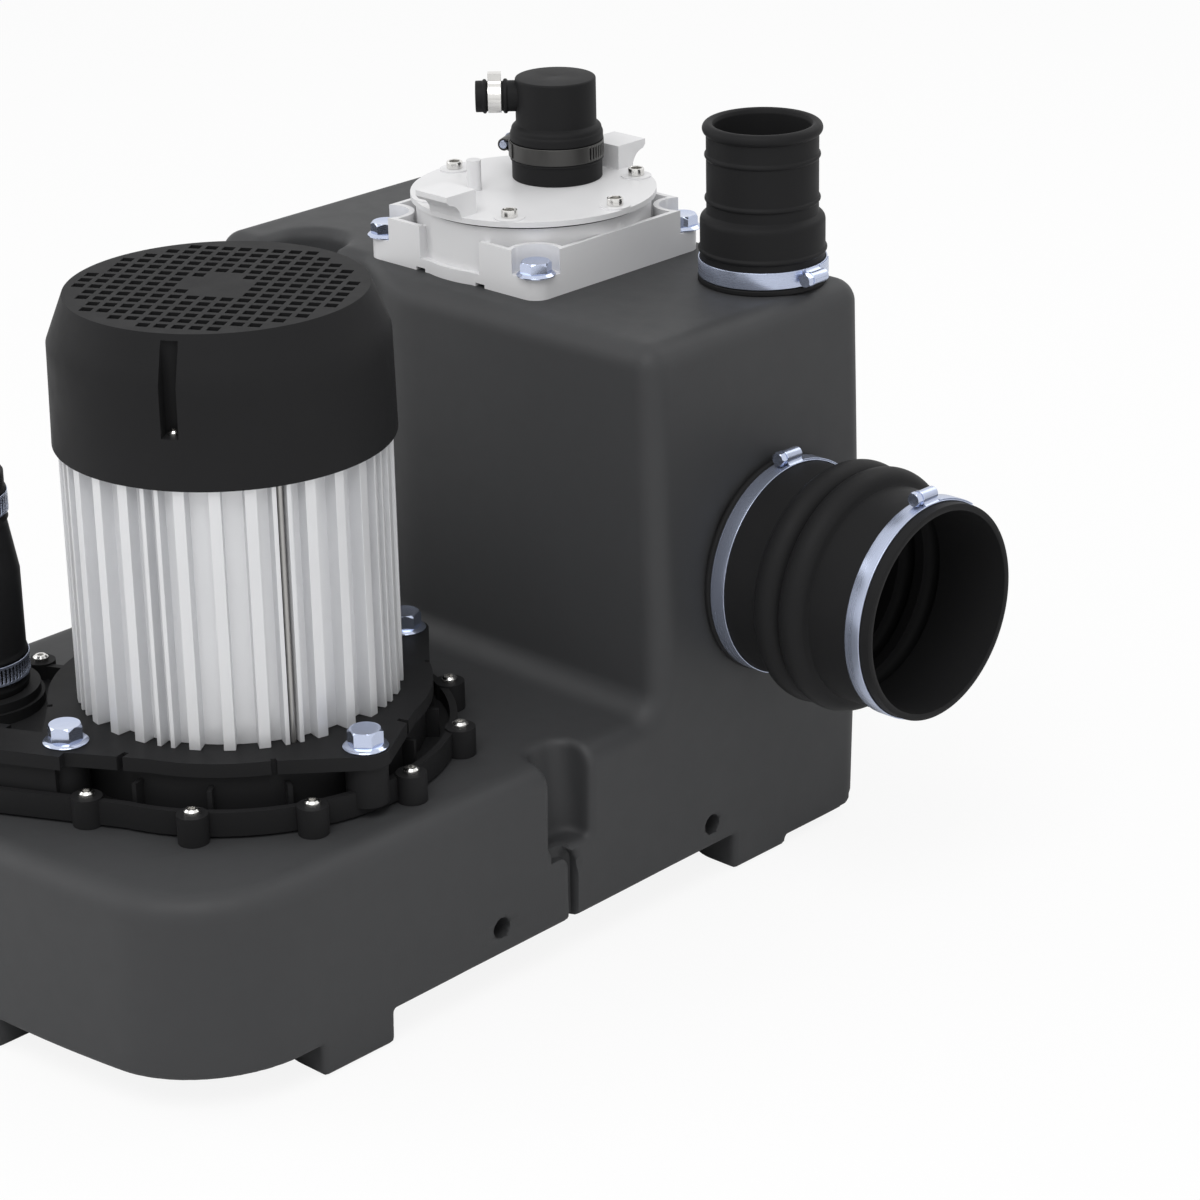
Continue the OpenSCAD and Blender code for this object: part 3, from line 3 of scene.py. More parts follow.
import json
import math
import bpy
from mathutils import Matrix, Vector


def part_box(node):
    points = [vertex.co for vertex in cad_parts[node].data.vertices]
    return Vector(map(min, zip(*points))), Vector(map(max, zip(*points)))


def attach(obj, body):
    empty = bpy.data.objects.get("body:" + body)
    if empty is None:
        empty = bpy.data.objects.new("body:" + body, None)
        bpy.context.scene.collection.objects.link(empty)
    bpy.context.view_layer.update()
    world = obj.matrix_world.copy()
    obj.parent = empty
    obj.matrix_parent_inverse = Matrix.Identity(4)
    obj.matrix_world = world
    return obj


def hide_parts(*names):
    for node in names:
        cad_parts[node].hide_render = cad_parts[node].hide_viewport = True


bl_info = {
    "name": "Macerator toilet pump",
    "version": (1, 0, 0),
    "blender": (4, 5, 0),
    "location": "3D View > Sidebar > Pump",
    "description": "Dresses the pump: tank, motor, cover, sleeves, clamps and fasteners",
    "category": "Object",
}

import bpy
import numpy as np
from mathutils import Matrix, Vector

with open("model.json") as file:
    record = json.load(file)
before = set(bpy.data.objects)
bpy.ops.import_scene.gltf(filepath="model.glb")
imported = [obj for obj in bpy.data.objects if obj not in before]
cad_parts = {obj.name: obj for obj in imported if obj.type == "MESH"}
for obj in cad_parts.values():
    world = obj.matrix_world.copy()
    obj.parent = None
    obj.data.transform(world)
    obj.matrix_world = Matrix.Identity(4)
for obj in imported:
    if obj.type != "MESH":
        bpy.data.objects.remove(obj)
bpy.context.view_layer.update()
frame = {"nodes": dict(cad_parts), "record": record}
SLOT_OF = {entry["node"]: entry["material_slot"] for entry in frame["record"]["subparts"]}
BODY = "pump_unit"
MM = 0.001
JOIN_WITHIN = 1e-6
# Bends between faces: CAD nodes shade smooth below the first and are rounded above the second;
# new pieces are creased above the third, and fasteners above the fourth
SMOOTH_BELOW = math.radians(38)
ROUND_ABOVE = math.radians(40)
CREASE_ABOVE = math.radians(40)
CRISP_ABOVE = math.radians(30)


# Places that the frame gives


def low(node):
    """Lowest corner of a CAD node, in metres."""
    return np.array(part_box(node)[0])


def high(node):
    """Highest corner of a CAD node, in metres."""
    return np.array(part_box(node)[1])


def middle(node):
    """Middle of a CAD node's box, in metres."""
    return (low(node) + high(node)) / 2


def axis_of(node, height):
    """Point on the upright axis of a round node, at a height in metres."""
    return (*middle(node)[:2], height)


# Settings that a user would change


def length(name, text, value):
    """A length in metres, from millimetres."""
    return bpy.props.FloatProperty(
        name=name, description=text, default=value * MM, unit="LENGTH", precision=4
    )


def colour(name, text, value):
    """A linear colour."""
    return bpy.props.FloatVectorProperty(
        name=name, description=text, default=value, size=3, subtype="COLOR", min=0, max=1
    )


def number(name, text, value, subtype="NONE", **limits):
    """A focal length, an angle in radians, a power or a plain strength."""
    return bpy.props.FloatProperty(
        name=name, description=text, default=value, subtype=subtype, **limits
    )


class PumpTankSettings(bpy.types.PropertyGroup):
    """Form of the moulded tank"""

    width: length("Width", "Tank width across its side walls", 347)
    wall: length("Wall", "Thickness of the moulded wall", 8)
    edge: length("Edge radius", "Rounding along the deck and the top", 13)
    corner: length("Front corner radius", "Upright rounding at the front corners", 58)
    hollow: length("Riser hollow", "Hollow rounding between deck and riser", 14)
    notch_edge: length("Notch edge radius", "Rounding round each side notch", 4)
    recess_edge: length("Recess edge radius", "Rounding round the recess behind the motor", 7)


class PumpRubberSettings(bpy.types.PropertyGroup):
    """Bores and walls of the rubber pieces"""

    side_bore: length("Side bore radius", "Radius inside the side sleeve", 55)
    top_bore: length("Top bore radius", "Radius inside the top sleeve", 26)
    wall: length("Sleeve wall", "Thickness of the side sleeve", 3.5)
    hose_wall: length("Hose wall", "Thickness of the discharge hose", 2.8)


class PumpFinishSettings(bpy.types.PropertyGroup):
    """Colours of the finishes"""

    tank: colour("Tank plastic", "Charcoal moulded plastic", (0.0425, 0.0433, 0.0452))
    black: colour("Black plastic", "Satin black mouldings", (0.0185, 0.0185, 0.0193))
    rubber: colour("Rubber", "Black rubber of sleeves and caps", (0.0172, 0.0172, 0.0179))
    white: colour("White plastic", "White moulded cover", (0.77, 0.77, 0.78))
    aluminium: colour("Aluminium", "Pale extruded motor housing", (0.735, 0.74, 0.755))
    zinc: colour("Zinc", "Bluish zinc plating", (0.47, 0.52, 0.66))
    steel: colour("Steel", "Bright screws and clips", (0.74, 0.73, 0.71))
    copper: colour("Copper", "Winding wire", (0.62, 0.24, 0.09))
    iron: colour("Cast metal", "Pump casting", (0.16, 0.165, 0.17))


class PumpStudioSettings(bpy.types.PropertyGroup):
    """Camera and light"""

    lens: number("Lens", "Focal length", 109.22, "DISTANCE_CAMERA")
    yaw: number("Yaw", "Camera turn to the right of the front", math.radians(43.913), "ANGLE")
    pitch: number("Pitch", "Camera height angle", math.radians(22.420), "ANGLE")
    roll: number("Roll", "Camera roll", math.radians(-1.153), "ANGLE")
    key: number("Key light", "Power of the large key light", 26, "POWER")
    fill: number("Fill light", "Power of the side and back lights", 9, "POWER")
    sky: number("Surround", "Strength of the white surround as light", 0.62, min=0)


# Shader maths


class Value:
    """A node's output; arithmetic on it adds Math nodes."""

    def __init__(self, tree, socket):
        self.tree, self.socket = tree, socket

    def math(self, operation, first, second):
        """A Math node on two values."""
        return self.tree.node("ShaderNodeMath", {"operation": operation}, {0: first, 1: second})

    def __add__(self, other):
        return self.math("ADD", self, other)

    def __sub__(self, other):
        return self.math("SUBTRACT", self, other)

    def __mul__(self, other):
        return self.math("MULTIPLY", self, other)

    def __rsub__(self, other):
        return self.math("SUBTRACT", other, self)

    __radd__, __rmul__ = __add__, __mul__

    def most(self, other):
        """The larger of two values."""
        return self.math("MAXIMUM", self, other)


class Tree:
    """A node tree; one method adds every node."""

    def __init__(self, tree):
        self.tree = tree

    def feed(self, node, values):
        """Sets or links a node's sockets."""
        for key, value in values.items():
            socket = node.inputs[key]
            if isinstance(value, Value):
                self.tree.links.new(value.socket, socket)
            elif socket.type == "RGBA" and len(value) == 3:
                socket.default_value = (*value, 1)
            else:
                socket.default_value = value

    def node(self, kind, settings=None, values=None, out=0):
        """Any node: its type, its settings, and the values or links of its sockets."""
        node = self.tree.nodes.new(kind)
        for key, value in (settings or {}).items():
            setattr(node, key, value)
        self.feed(node, values or {})
        return Value(self, node.outputs[out])

    def seen(self, *kinds):
        """1 for the named kinds of ray, and 0 for the rest."""
        first, *others = (self.node("ShaderNodeLightPath", out=f"Is {kind} Ray") for kind in kinds)
        for ray in others:
            first = first.most(ray)
        return first


class Look(Tree):
    """A material, its tree and its one shader."""

    def __init__(self, name, **constants):
        self.material = bpy.data.materials.new(name)
        self.material.use_nodes = True
        super().__init__(self.material.node_tree)
        self.shader = self.tree.nodes["Principled BSDF"]
        self.set(**constants)

    def set(self, **values):
        """Feeds the shader; underscores stand for spaces."""
        self.feed(self.shader, {key.replace("_", " "): value for key, value in values.items()})
        return self.material

    def noise(self, size, detail=2.0, stretch=(1, 1, 1)):
        """Noise from 0 to 1 on Object coordinates, with features of about this size in
        millimetres, drawn out along an axis where stretch is small."""
        where = self.node("ShaderNodeTexCoord", out="Object")
        drawn = self.node("ShaderNodeMapping", None, {"Vector": where, "Scale": stretch})
        values = {"Vector": drawn, "Scale": 1 / (size * MM), "Detail": detail}
        return self.node("ShaderNodeTexNoise", None, values)

    def shades(self, factor, base, spread):
        """Colour between a darker and a lighter shade of base."""
        values = {0: factor, 6: tint(base, 1 - spread), 7: tint(base, 1 + spread)}
        return self.node("ShaderNodeMix", {"data_type": "RGBA"}, values, out=2)

    def bump(self, height, depth, strength):
        """Surface relief of a depth in millimetres from a height of 0 to 1."""
        values = {"Height": height, "Distance": depth * MM, "Strength": strength}
        return self.node("ShaderNodeBump", None, values)


def tint(colour_value, factor):
    """A colour made lighter or darker."""
    return tuple(min(1.0, c * factor) for c in colour_value)


def swing(value, span):
    """A value from 0 to 1 as a swing of span about 0."""
    return (value - 0.5) * span


def moulded(name, base, grain, depth, rough, spread, specular):
    """Moulded plastic or rubber: fine grain, slow tone drift and patchy gloss."""
    look = Look(name, Specular_IOR_Level=specular)
    return look.set(
        Base_Color=look.shades(look.noise(70, 3), base, spread),
        Roughness=rough + swing(look.noise(12, 3), 0.14),
        Normal=look.bump(look.noise(grain), depth, 0.6),
    )


def plated(name, base, rough, stretch=(1, 1, 1), grain=0.6, depth=0.02, spread=0.06, metal=1.0):
    """Plated or bright metal: brushed grain and uneven gloss, both drawn out by stretch."""
    look = Look(name, Metallic=metal)
    brush, drift = look.noise(grain, 3, stretch), look.noise(12, 2, stretch)
    return look.set(
        Base_Color=look.shades(0.5 * brush + 0.5 * drift, base, spread),
        Roughness=rough + swing(brush, 0.1) + swing(drift, 0.1),
        Normal=look.bump(brush, depth, 0.5),
    )


def extruded(name, base):
    """Pale drawn aluminium: upright draw lines in the gloss and slow tone patches."""
    look = Look(name, Metallic=0.35, Specular_IOR_Level=0.4)
    lines = look.noise(0.9, 2, (1, 1, 0.004))
    return look.set(
        Base_Color=look.shades(look.noise(40, 3), base, 0.04),
        Roughness=0.42 + swing(lines, 0.2),
        Normal=look.bump(lines, 0.03, 0.5),
    )


FINISH = {}


def mix_finishes(c):
    """Every finish by material slot, and two for bands that lie level or stand upright; the level
    bands' zinc is painted a tenth lighter, as a lit copy of the upright bands' zinc. Sizes and
    depths of grain are in millimetres."""
    level, upright = (0.004, 0.004, 1), (1, 0.004, 0.004)
    band = dict(rough=0.27, grain=0.4, depth=0.01, spread=0.28, metal=0.75)
    FINISH.clear()
    FINISH.update({
        "tank_plastic": moulded(
            "Tank plastic", c.tank, grain=1.1, depth=0.08, rough=0.56, spread=0.06, specular=0.3),
        "black_plastic": moulded(
            "Black plastic", c.black, grain=0.7, depth=0.05, rough=0.5, spread=0.1, specular=0.055),
        "black_rubber": moulded(
            "Black rubber", c.rubber, grain=0.9, depth=0.05, rough=0.52, spread=0.1,
            specular=0.075),
        "white_plastic": moulded(
            "White plastic", c.white, grain=0.8, depth=0.03, rough=0.36, spread=0.02, specular=0.4),
        "zinc_steel": plated(
            "Bluish zinc", tint(c.zinc, 1.15), 0.14, grain=3, depth=0.003, spread=0.04, metal=0.9),
        # Painted light: the level bands' zinc is a tenth lighter than the upright bands', to stand
        # in for how brightly they are lit
        "level band": plated("Zinc band, level", tint(c.zinc, 1.1), stretch=level, **band),
        "upright band": plated("Zinc band, upright", c.zinc, stretch=upright, **band),
        "bright_steel": plated("Bright steel", c.steel, 0.24),
        "machined_steel": plated("Machined steel", tint(c.steel, 0.55), 0.36, (1, 1, 14)),
        "laminated_steel": plated(
            "Stacked laminations", tint(c.steel, 0.5), 0.45, (0.02, 0.02, 1)),
        "copper_wire": plated(
            "Copper wire", c.copper, 0.35, (0.05, 0.05, 1), grain=0.9, depth=0.2),
        "cast_metal": plated("Cast metal", c.iron, 0.55, grain=1.2, depth=0.1),
        "dark_band": plated("Dark band", tint(c.steel, 0.11), 0.42, level),
        "housing_aluminium": extruded("Extruded aluminium", c.aluminium),
    })


# Mesh tools


class ShapeTree(Tree):
    """A geometry node group with one shape in and one out."""

    def __init__(self, name):
        super().__init__(bpy.data.node_groups.new(name, "GeometryNodeTree"))
        for way in ("INPUT", "OUTPUT"):
            self.tree.interface.new_socket("Geometry", in_out=way, socket_type="NodeSocketGeometry")
        self.start = self.tree.nodes.new("NodeGroupInput")

    def shape(self):
        """The shape that comes in."""
        return Value(self, self.start.outputs[0])

    def give(self, shape):
        """Sends a shape out and returns the group."""
        self.feed(self.tree.nodes.new("NodeGroupOutput"), {0: shape})
        return self.tree


def soften():
    """Node group that joins loose facets and shades smooth across the flatter edges."""
    name = "Soft facets"
    if name in bpy.data.node_groups:
        return bpy.data.node_groups[name]
    tree = ShapeTree(name)
    values = {"Geometry": tree.shape(), "Distance": JOIN_WITHIN}
    whole = tree.node("GeometryNodeMergeByDistance", None, values)
    smooth = tree.node("GeometryNodeSetShadeSmooth", None, {"Geometry": whole})
    bend = tree.node("GeometryNodeInputMeshEdgeAngle", out="Unsigned Angle")
    values = {"A": bend, "B": SMOOTH_BELOW}
    sharp = tree.node("FunctionNodeCompare", {"operation": "GREATER_THAN"}, values)
    values = {"Geometry": smooth, "Selection": sharp, "Shade Smooth": False}
    return tree.give(tree.node("GeometryNodeSetShadeSmooth", {"domain": "EDGE"}, values))


def level_walls(span):
    """Node group that holds a mesh between two upright planes across X."""
    tree = ShapeTree("Level side walls")
    place = tree.node("GeometryNodeInputPosition")
    x, y, z = (tree.node("ShaderNodeSeparateXYZ", None, {0: place}, out=axis) for axis in "XYZ")
    held = tree.node("ShaderNodeClamp", None, {"Value": x, "Min": span[0], "Max": span[1]})
    place = tree.node("ShaderNodeCombineXYZ", None, {"X": held, "Y": y, "Z": z})
    values = {"Geometry": tree.shape(), "Position": place}
    return tree.give(tree.node("GeometryNodeSetPosition", None, values))


def finish_node(node, rounding):
    """Gives a CAD node its finish: facets joined and shaded, edges rounded where it has them."""
    part = frame["nodes"][node]
    part.data.materials.clear()
    part.data.materials.append(FINISH[SLOT_OF[node]])
    if rounding:
        part.modifiers.new("Join facets", "WELD").merge_threshold = JOIN_WITHIN
        edge = part.modifiers.new("Round edges", "BEVEL")
        edge.width, edge.segments = rounding, 2
        edge.limit_method, edge.angle_limit = "ANGLE", ROUND_ABOVE
        edge.use_clamp_overlap = True
    part.modifiers.new("Soft facets", "NODES").node_group = soften()
    if rounding:
        part.modifiers.new("Flat faces", "WEIGHTED_NORMAL").keep_sharp = True


def piece(name, points, faces, slot, replaced, crease=CREASE_ABOVE, finish=None):
    """A new piece from points in metres and faces, standing for the named CAD nodes."""
    mesh = bpy.data.meshes.new(name)
    mesh.from_pydata(points.tolist(), [], faces)
    mesh.update()
    mesh.shade_smooth()
    mesh.set_sharp_from_angle(angle=crease)
    mesh.materials.append(FINISH[finish or slot])
    made = bpy.data.objects.new(name, mesh)
    bpy.context.scene.collection.objects.link(made)
    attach(made, BODY)
    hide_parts(*replaced)
    return made


def thicken(made, depth):
    """Sheet metal from an open surface, its depth going inwards."""
    sheet = made.modifiers.new("Sheet", "SOLIDIFY")
    sheet.thickness, sheet.offset = depth, -1


# Turned and carried surfaces, in millimetres round the Z axis


def grid_faces(rows, columns, ring_rows=True, ring_columns=True):
    """Quads between neighbours on a grid of points, row by row; a ring also joins last to first."""
    i = np.arange(rows if ring_rows else rows - 1)[:, None]
    j = np.arange(columns if ring_columns else columns - 1)[None]
    here, beside, above = i * columns, (i + 1) % rows * columns, (j + 1) % columns
    return np.stack([here + j, beside + j, beside + above, here + above], 2).reshape(-1, 4)


def closed_run(rings):
    """Closed rings of points one after another, with a face over both ends."""
    steps, n, _ = rings.shape
    first = np.arange(n)
    ends = [first.tolist(), (first[::-1] + (steps - 1) * n).tolist()]
    return rings.reshape(-1, 3), grid_faces(steps, n, ring_rows=False).tolist() + ends


def wound(outline):
    """The two coordinates of a closed outline, run anticlockwise so that faces point outwards."""
    a, b = outline.T
    area = (a * np.roll(b, -1) - np.roll(a, -1) * b).sum()
    return (a[::-1], b[::-1]) if area < 0 else (a, b)


def eased(corners, steps=6):
    """Closed outline whose corners (across, up, radius) become parabolic arcs: the corner plus
    (1-t)^2 and t^2 of the ways to its two neighbours, each cut to the radius."""
    p = np.array(corners, float)
    ways = []
    for near in (np.roll(p, 1, 0), np.roll(p, -1, 0)):
        way = near[:, :2] - p[:, :2]
        span = np.hypot(*way.T)
        ways.append(way * (np.minimum(p[:, 2], 0.48 * span) / span)[:, None])
    t = np.linspace(0, 1, steps)[None, :, None]
    arc = p[:, None, :2] + (1 - t) ** 2 * ways[0][:, None] + t**2 * ways[1][:, None]
    return arc.reshape(-1, 2)


def lathe(outline, turns):
    """A closed outline of (radius, height) carried once round the axis."""
    r, z = wound(outline)
    angle = np.linspace(0, 2 * math.pi, turns, endpoint=False)[:, None]
    points = np.stack([r * np.cos(angle), r * np.sin(angle), z + 0 * angle], 2)
    return points.reshape(-1, 3), grid_faces(turns, len(r)).tolist()


def spun(profile, turns):
    """A solid from rows of (radius, height, flats) with a face over the first and the last: each
    ring is a circle, or where flats isn't 0 the smaller of that circle and a hexagon that far
    across its flats."""
    r, z, flats = np.array(profile, float).T
    angle = np.linspace(0, 2 * math.pi, turns, endpoint=False)[:, None]
    hexagon = 0.5 / np.cos((angle + math.pi / 6) % (math.pi / 3) - math.pi / 6)
    radius = np.where(flats > 0, np.minimum(r, hexagon * flats), r)
    points = np.stack([radius * np.cos(angle), radius * np.sin(angle), z + 0 * angle], 2)
    ring, n = np.arange(turns) * len(r), len(r)
    ends = [ring[::-1].tolist(), (ring + n - 1).tolist()]
    return points.reshape(-1, 3), grid_faces(turns, n, ring_columns=False).tolist() + ends


def swept(outline, angle, radius):
    """A closed outline of (out, up) carried round the axis from the first to the last angle."""
    out, up = wound(outline)
    turn, reach = angle[:, None], radius + out
    return closed_run(np.stack([reach * np.cos(turn), reach * np.sin(turn), up + 0 * turn], 2))


def stand(shape, centre, deg=0.0, axis="Z"):
    """A shape turned about its axis by deg, set along Z or X, and moved to centre in metres."""
    points, faces = shape
    a = math.radians(deg)
    x = points[:, 0] * math.cos(a) - points[:, 1] * math.sin(a)
    y = points[:, 0] * math.sin(a) + points[:, 1] * math.cos(a)
    z = points[:, 2]
    turned = np.stack([x, y, z] if axis == "Z" else [z, y, -x], 1)
    return turned * MM + np.asarray(centre), faces


def joined(shapes):
    """Several shapes as one."""
    points, faces, count = [], [], 0
    for some, theirs in shapes:
        points.append(some)
        faces += [[n + count for n in face] for face in theirs]
        count += len(some)
    return np.concatenate(points), faces


# Implicit forms, all negative inside


def both(a, b, r):
    """Common part of two forms, with its edge rounded by r."""
    round_edge = np.hypot(np.maximum(a + r, 0), np.maximum(b + r, 0))
    return np.minimum(np.maximum(a, b), -r) + round_edge


def either(a, b, r):
    """Two forms joined, with a hollow fillet of r between them."""
    fillet = np.hypot(np.maximum(r - a, 0), np.maximum(r - b, 0))
    return np.maximum(np.minimum(a, b), r) - fillet


def without(a, b, r):
    """The first form less the second, with the edge rounded by r."""
    return both(a, -b, r)


def brick(x, y, z, lo, hi, r):
    """Distance to a box from lo to hi with edges of radius r."""
    gap = [np.abs(c - (a + b) / 2) - (b - a) / 2 + r for c, a, b in zip((x, y, z), lo, hi)]
    out = np.sqrt(sum(np.maximum(g, 0) ** 2 for g in gap))
    return out + np.minimum(np.maximum(np.maximum(gap[0], gap[1]), gap[2]), 0) - r


def net_points(value, axes):
    """One point for each grid cell that the surface crosses, at the mean of the crossings of its
    edges, and the number of the point in each cell."""
    inside = value < 0
    shape = tuple(n - 1 for n in value.shape)
    total, count = np.zeros((*shape, 3)), np.zeros(shape)

    def part(array, offset):
        return array[tuple(slice(o, o + n) for o, n in zip(offset, shape))]

    for start in np.ndindex(2, 2, 2):
        for axis in range(3):
            if start[axis]:
                continue
            end = tuple(1 if n == axis else o for n, o in enumerate(start))
            where = np.nonzero(part(inside, start) != part(inside, end))
            a, b = part(value, start)[where], part(value, end)[where]
            along = a / (a - b)
            for n in range(3):
                first = axes[n][where[n] + start[n]]
                ahead = along * (axes[n][where[n] + 1] - first) if n == axis else 0
                total[(*where, n)] += first + ahead
            count[where] += 1
    cells = np.nonzero(count)
    number_of = np.full(shape, -1)
    number_of[cells] = np.arange(len(cells[0]))
    return total[cells] / count[cells][:, None], number_of


def net_quads(inside, number_of):
    """A quad round every grid edge that crosses the surface, facing outwards."""
    faces = []
    for axis in range(3):
        u, v = (axis + 1) % 3, (axis + 2) % 3
        first = [slice(1, -1)] * 3
        first[axis] = slice(0, -1)
        second = list(first)
        second[axis] = slice(1, None)
        here, there = inside[tuple(first)], inside[tuple(second)]
        where = np.nonzero(here != there)
        base = [where[n] + (0 if n == axis else 1) for n in range(3)]
        ring = []
        for du, dv in ((1, 1), (0, 1), (0, 0), (1, 0)):
            cell = list(base)
            cell[u], cell[v] = base[u] - du, base[v] - dv
            ring.append(number_of[tuple(cell)])
        quad = np.stack(ring, 1)
        faces.append(np.where(here[where][:, None], quad, quad[:, ::-1]))
    return np.concatenate(faces)


def net_surface(field, axes):
    """Surface net of an implicit form on a graded grid, its points pulled onto the surface along
    the form's slope."""
    value = field(*np.meshgrid(*axes, indexing="ij", sparse=True))
    points, number_of = net_points(value, axes)
    faces = net_quads(value < 0, number_of)
    probe, pulls, least_slope, longest_pull = 0.05, 3, 0.2, 1.5
    for _ in range(pulls):
        here = field(*points.T)
        ahead, behind = (
            np.stack([field(*(points + side * e).T) for e in np.eye(3)], 1)
            for side in (probe, -probe)
        )
        slope = (ahead - behind) / (2 * probe)
        move = here[:, None] * slope / np.maximum((slope**2).sum(1), least_slope)[:, None]
        points -= np.clip(move, -longest_pull, longest_pull)
    return points, faces


def graded(*stretches):
    """Grid lines from stretches of (start, end, step)."""
    lines = [np.linspace(a, b, max(2, round((b - a) / s) + 1))[:-1] for a, b, s in stretches]
    return np.append(np.concatenate(lines), stretches[-1][1])


class PUMP_OT_finishes(bpy.types.Operator):
    """Mixes every finish from the chosen colours"""

    bl_idname = "pump.finishes"
    bl_label = "Finishes"

    def execute(self, context):
        mix_finishes(context.scene.pump_finish)
        return {"FINISHED"}


# Edge roundings of the nodes that keep their CAD shape, in millimetres
ROUNDED = {
    "cover_base": 0.5, "lid": 0.6, "motor_flange": 0.7, "pump_flange": 0.7, "fan_cap": 0.5,
    "motor_housing": 0.35, "check_valve_body": 0.6, "hose_clip": 0.15,
}


class PUMP_OT_cad_finish(bpy.types.Operator):
    """Finishes of the nodes that keep their CAD shape"""

    bl_idname = "pump.cad_finish"
    bl_label = "Finished castings and fittings"

    def execute(self, context):
        cover_half = 66
        reach = np.array([-cover_half, cover_half]) * MM + middle("cover_gasket")[0]
        cover = frame["nodes"]["cover_base"].modifiers.new("Level side walls", "NODES")
        cover.node_group = level_walls(reach)
        for node in frame["nodes"]:
            finish_node(node, ROUNDED.get(node, 0) * MM)
        return {"FINISHED"}


class PUMP_OT_tank(bpy.types.Operator):
    """Moulded tank: deck, tall block, recess, notches, feet and pipe stubs"""

    bl_idname = "pump.tank"
    bl_label = "Tank"

    back, top, deck, riser = 253.0, 317.5, 115.0, 82.0

    def execute(self, context):
        s = context.scene.pump_tank
        mid_x = low("tank")[0] / MM + s.width / 2 / MM
        side, neck = middle("side_sleeve") / MM, middle("top_sleeve") / MM

        def field(x, y, z):
            """Shell less its hollow and all that is cut into it."""
            return self.cut(s, mid_x, self.shell(s, x, y, z), x, y, z)

        points, faces = net_surface(field, self.grid())
        points[:, 0] += mid_x
        tube = [(49.85, -24, 1), (54.85, -24, 1), (54.85, 17.8, 1), (49.85, 17.8, 1)]
        wall_x = low("side_sleeve")[0] - 0.5 * MM
        side_stub = stand(lathe(eased(tube, 3), 96), (wall_x, *side[1:] * MM), 0, "X")
        tube = [(25.6, -20, 1), (29.5, -20, 1), (29.5, 23.8, 1), (25.6, 23.8, 1)]
        top_stub = stand(lathe(eased(tube, 3), 64), (*neck[:2] * MM, self.top * MM))
        shape = joined([(points * MM, faces.tolist()), side_stub, top_stub])
        piece("tank_shell", *shape, "tank_plastic", ["tank"])
        return {"FINISHED"}

    def recess(self, x, y):
        """Upright round pocket behind the motor, opened forwards up to a slanted wall."""
        centre_x, centre_y, radius = -114, 106, 20
        slant = (x + 104) * 0.47 + (y - 123.5) * 0.8827
        mouth = np.maximum(np.maximum(centre_x - radius - x, y - centre_y), slant)
        return np.minimum(np.hypot(x - centre_x, y - centre_y) - radius, mouth)

    def shell(self, s, x, y, z):
        """Main block: an L of deck and riser within drafted side walls and a bowed front, on a
        tilted floor with a lower heel behind and five feet, all edges rounded."""
        edge, half, back = s.edge / MM, s.width / 2 / MM, self.back
        widest, draft, bow = 165, math.tan(math.radians(1.5)), 771.0
        sides = np.abs(x) - half + np.abs(z - widest) * draft
        front = np.hypot(x, y + back - bow) - bow
        tall = both(self.riser - y, z - self.top, edge)
        tall = without(tall, self.recess(x, y), s.recess_edge / MM)
        steps = either(z - self.deck, tall, s.hollow / MM)
        walls = both(both(steps, both(sides, front, s.corner / MM), edge), y - back, edge)
        floor, tilt, floor_edge = 16.6, 0.0115, 4
        body = both(walls, floor + (y + back) * tilt - z, floor_edge)
        heel_y, heel_z, heel_round = 187, 4.2, 22
        heel = both(both(walls, heel_y - y, 2), heel_z - z, floor_edge)
        body = np.maximum(np.minimum(body, heel), both(y - back, heel_z - z, heel_round))
        foot_end, end_round, foot_edge, foot_top, foot_fillet = 129.5, 19, 3, 40, 2
        inner = both(-z, foot_end - np.abs(x), end_round)
        side_feet = [np.maximum(a - y, y - b) for a, b in ((-161.6, -113.0), (145.5, 189.6))]
        feet = [both(foot, inner, foot_edge) for foot in side_feet]
        front_half, front_end = 23, -213
        feet.append(both(np.maximum(np.abs(x) - front_half, y - front_end), -z, foot_edge))
        for foot in feet:
            foot = np.maximum(both(foot, walls, foot_edge), z - foot_top)
            body = either(body, foot, foot_fillet)
        return np.maximum(body, walls)

    def cut(self, s, mid_x, body, x, y, z):
        """The block less side notches with a bent groove below, anchor holes, its hollow, which
        keeps a wall to each of them, and the openings under sleeves, cover and pump."""
        out, wall, hollow_floor = np.abs(x), s.wall / MM, 20
        hollow = np.maximum(body, hollow_floor - z) + wall

        notch_top, notch_floor, notch_draft = 126, 64, 0.1
        near, far, corner = (147.2, 0, -99), (230, 30, 99), 11
        plan = brick(out - (notch_top - z) * notch_draft, y, 0 * z, near, far, corner)
        notch = both(plan, notch_floor - z, 3.5)
        body = without(body, notch, s.notch_edge / MM)
        hollow = np.maximum(hollow, wall - notch)

        bend_y, bend_z, bend_r = 7.5, 52, 9
        bend = np.hypot(np.maximum(y - bend_y, 0), np.maximum(z - bend_z, 0)) - bend_r
        track = np.where(y < bend_y, np.abs(z - bend_z - bend_r), np.abs(bend))
        track = np.where(z < bend_z, np.abs(y - bend_y - bend_r), track)
        groove_half, groove_in, groove_start, groove_wall = 3.1, 163.8, 1, 5
        groove = np.maximum(np.maximum(track - groove_half, groove_in - out), groove_start - y)
        body = without(body, groove, 0.8)
        hollow = np.maximum(hollow, groove_wall - groove)

        anchor_z, anchor_r, anchor_in, boss_r, boss_in = 35, 5.8, 156, 14, 146
        for anchor_y in (-36.0, 127.0):
            away = np.hypot(y - anchor_y, z - anchor_z)
            body = without(body, np.maximum(away - anchor_r, anchor_in - out), 0.7)
            hollow = np.maximum(hollow, boss_r - away - np.maximum(boss_in - out, 0))

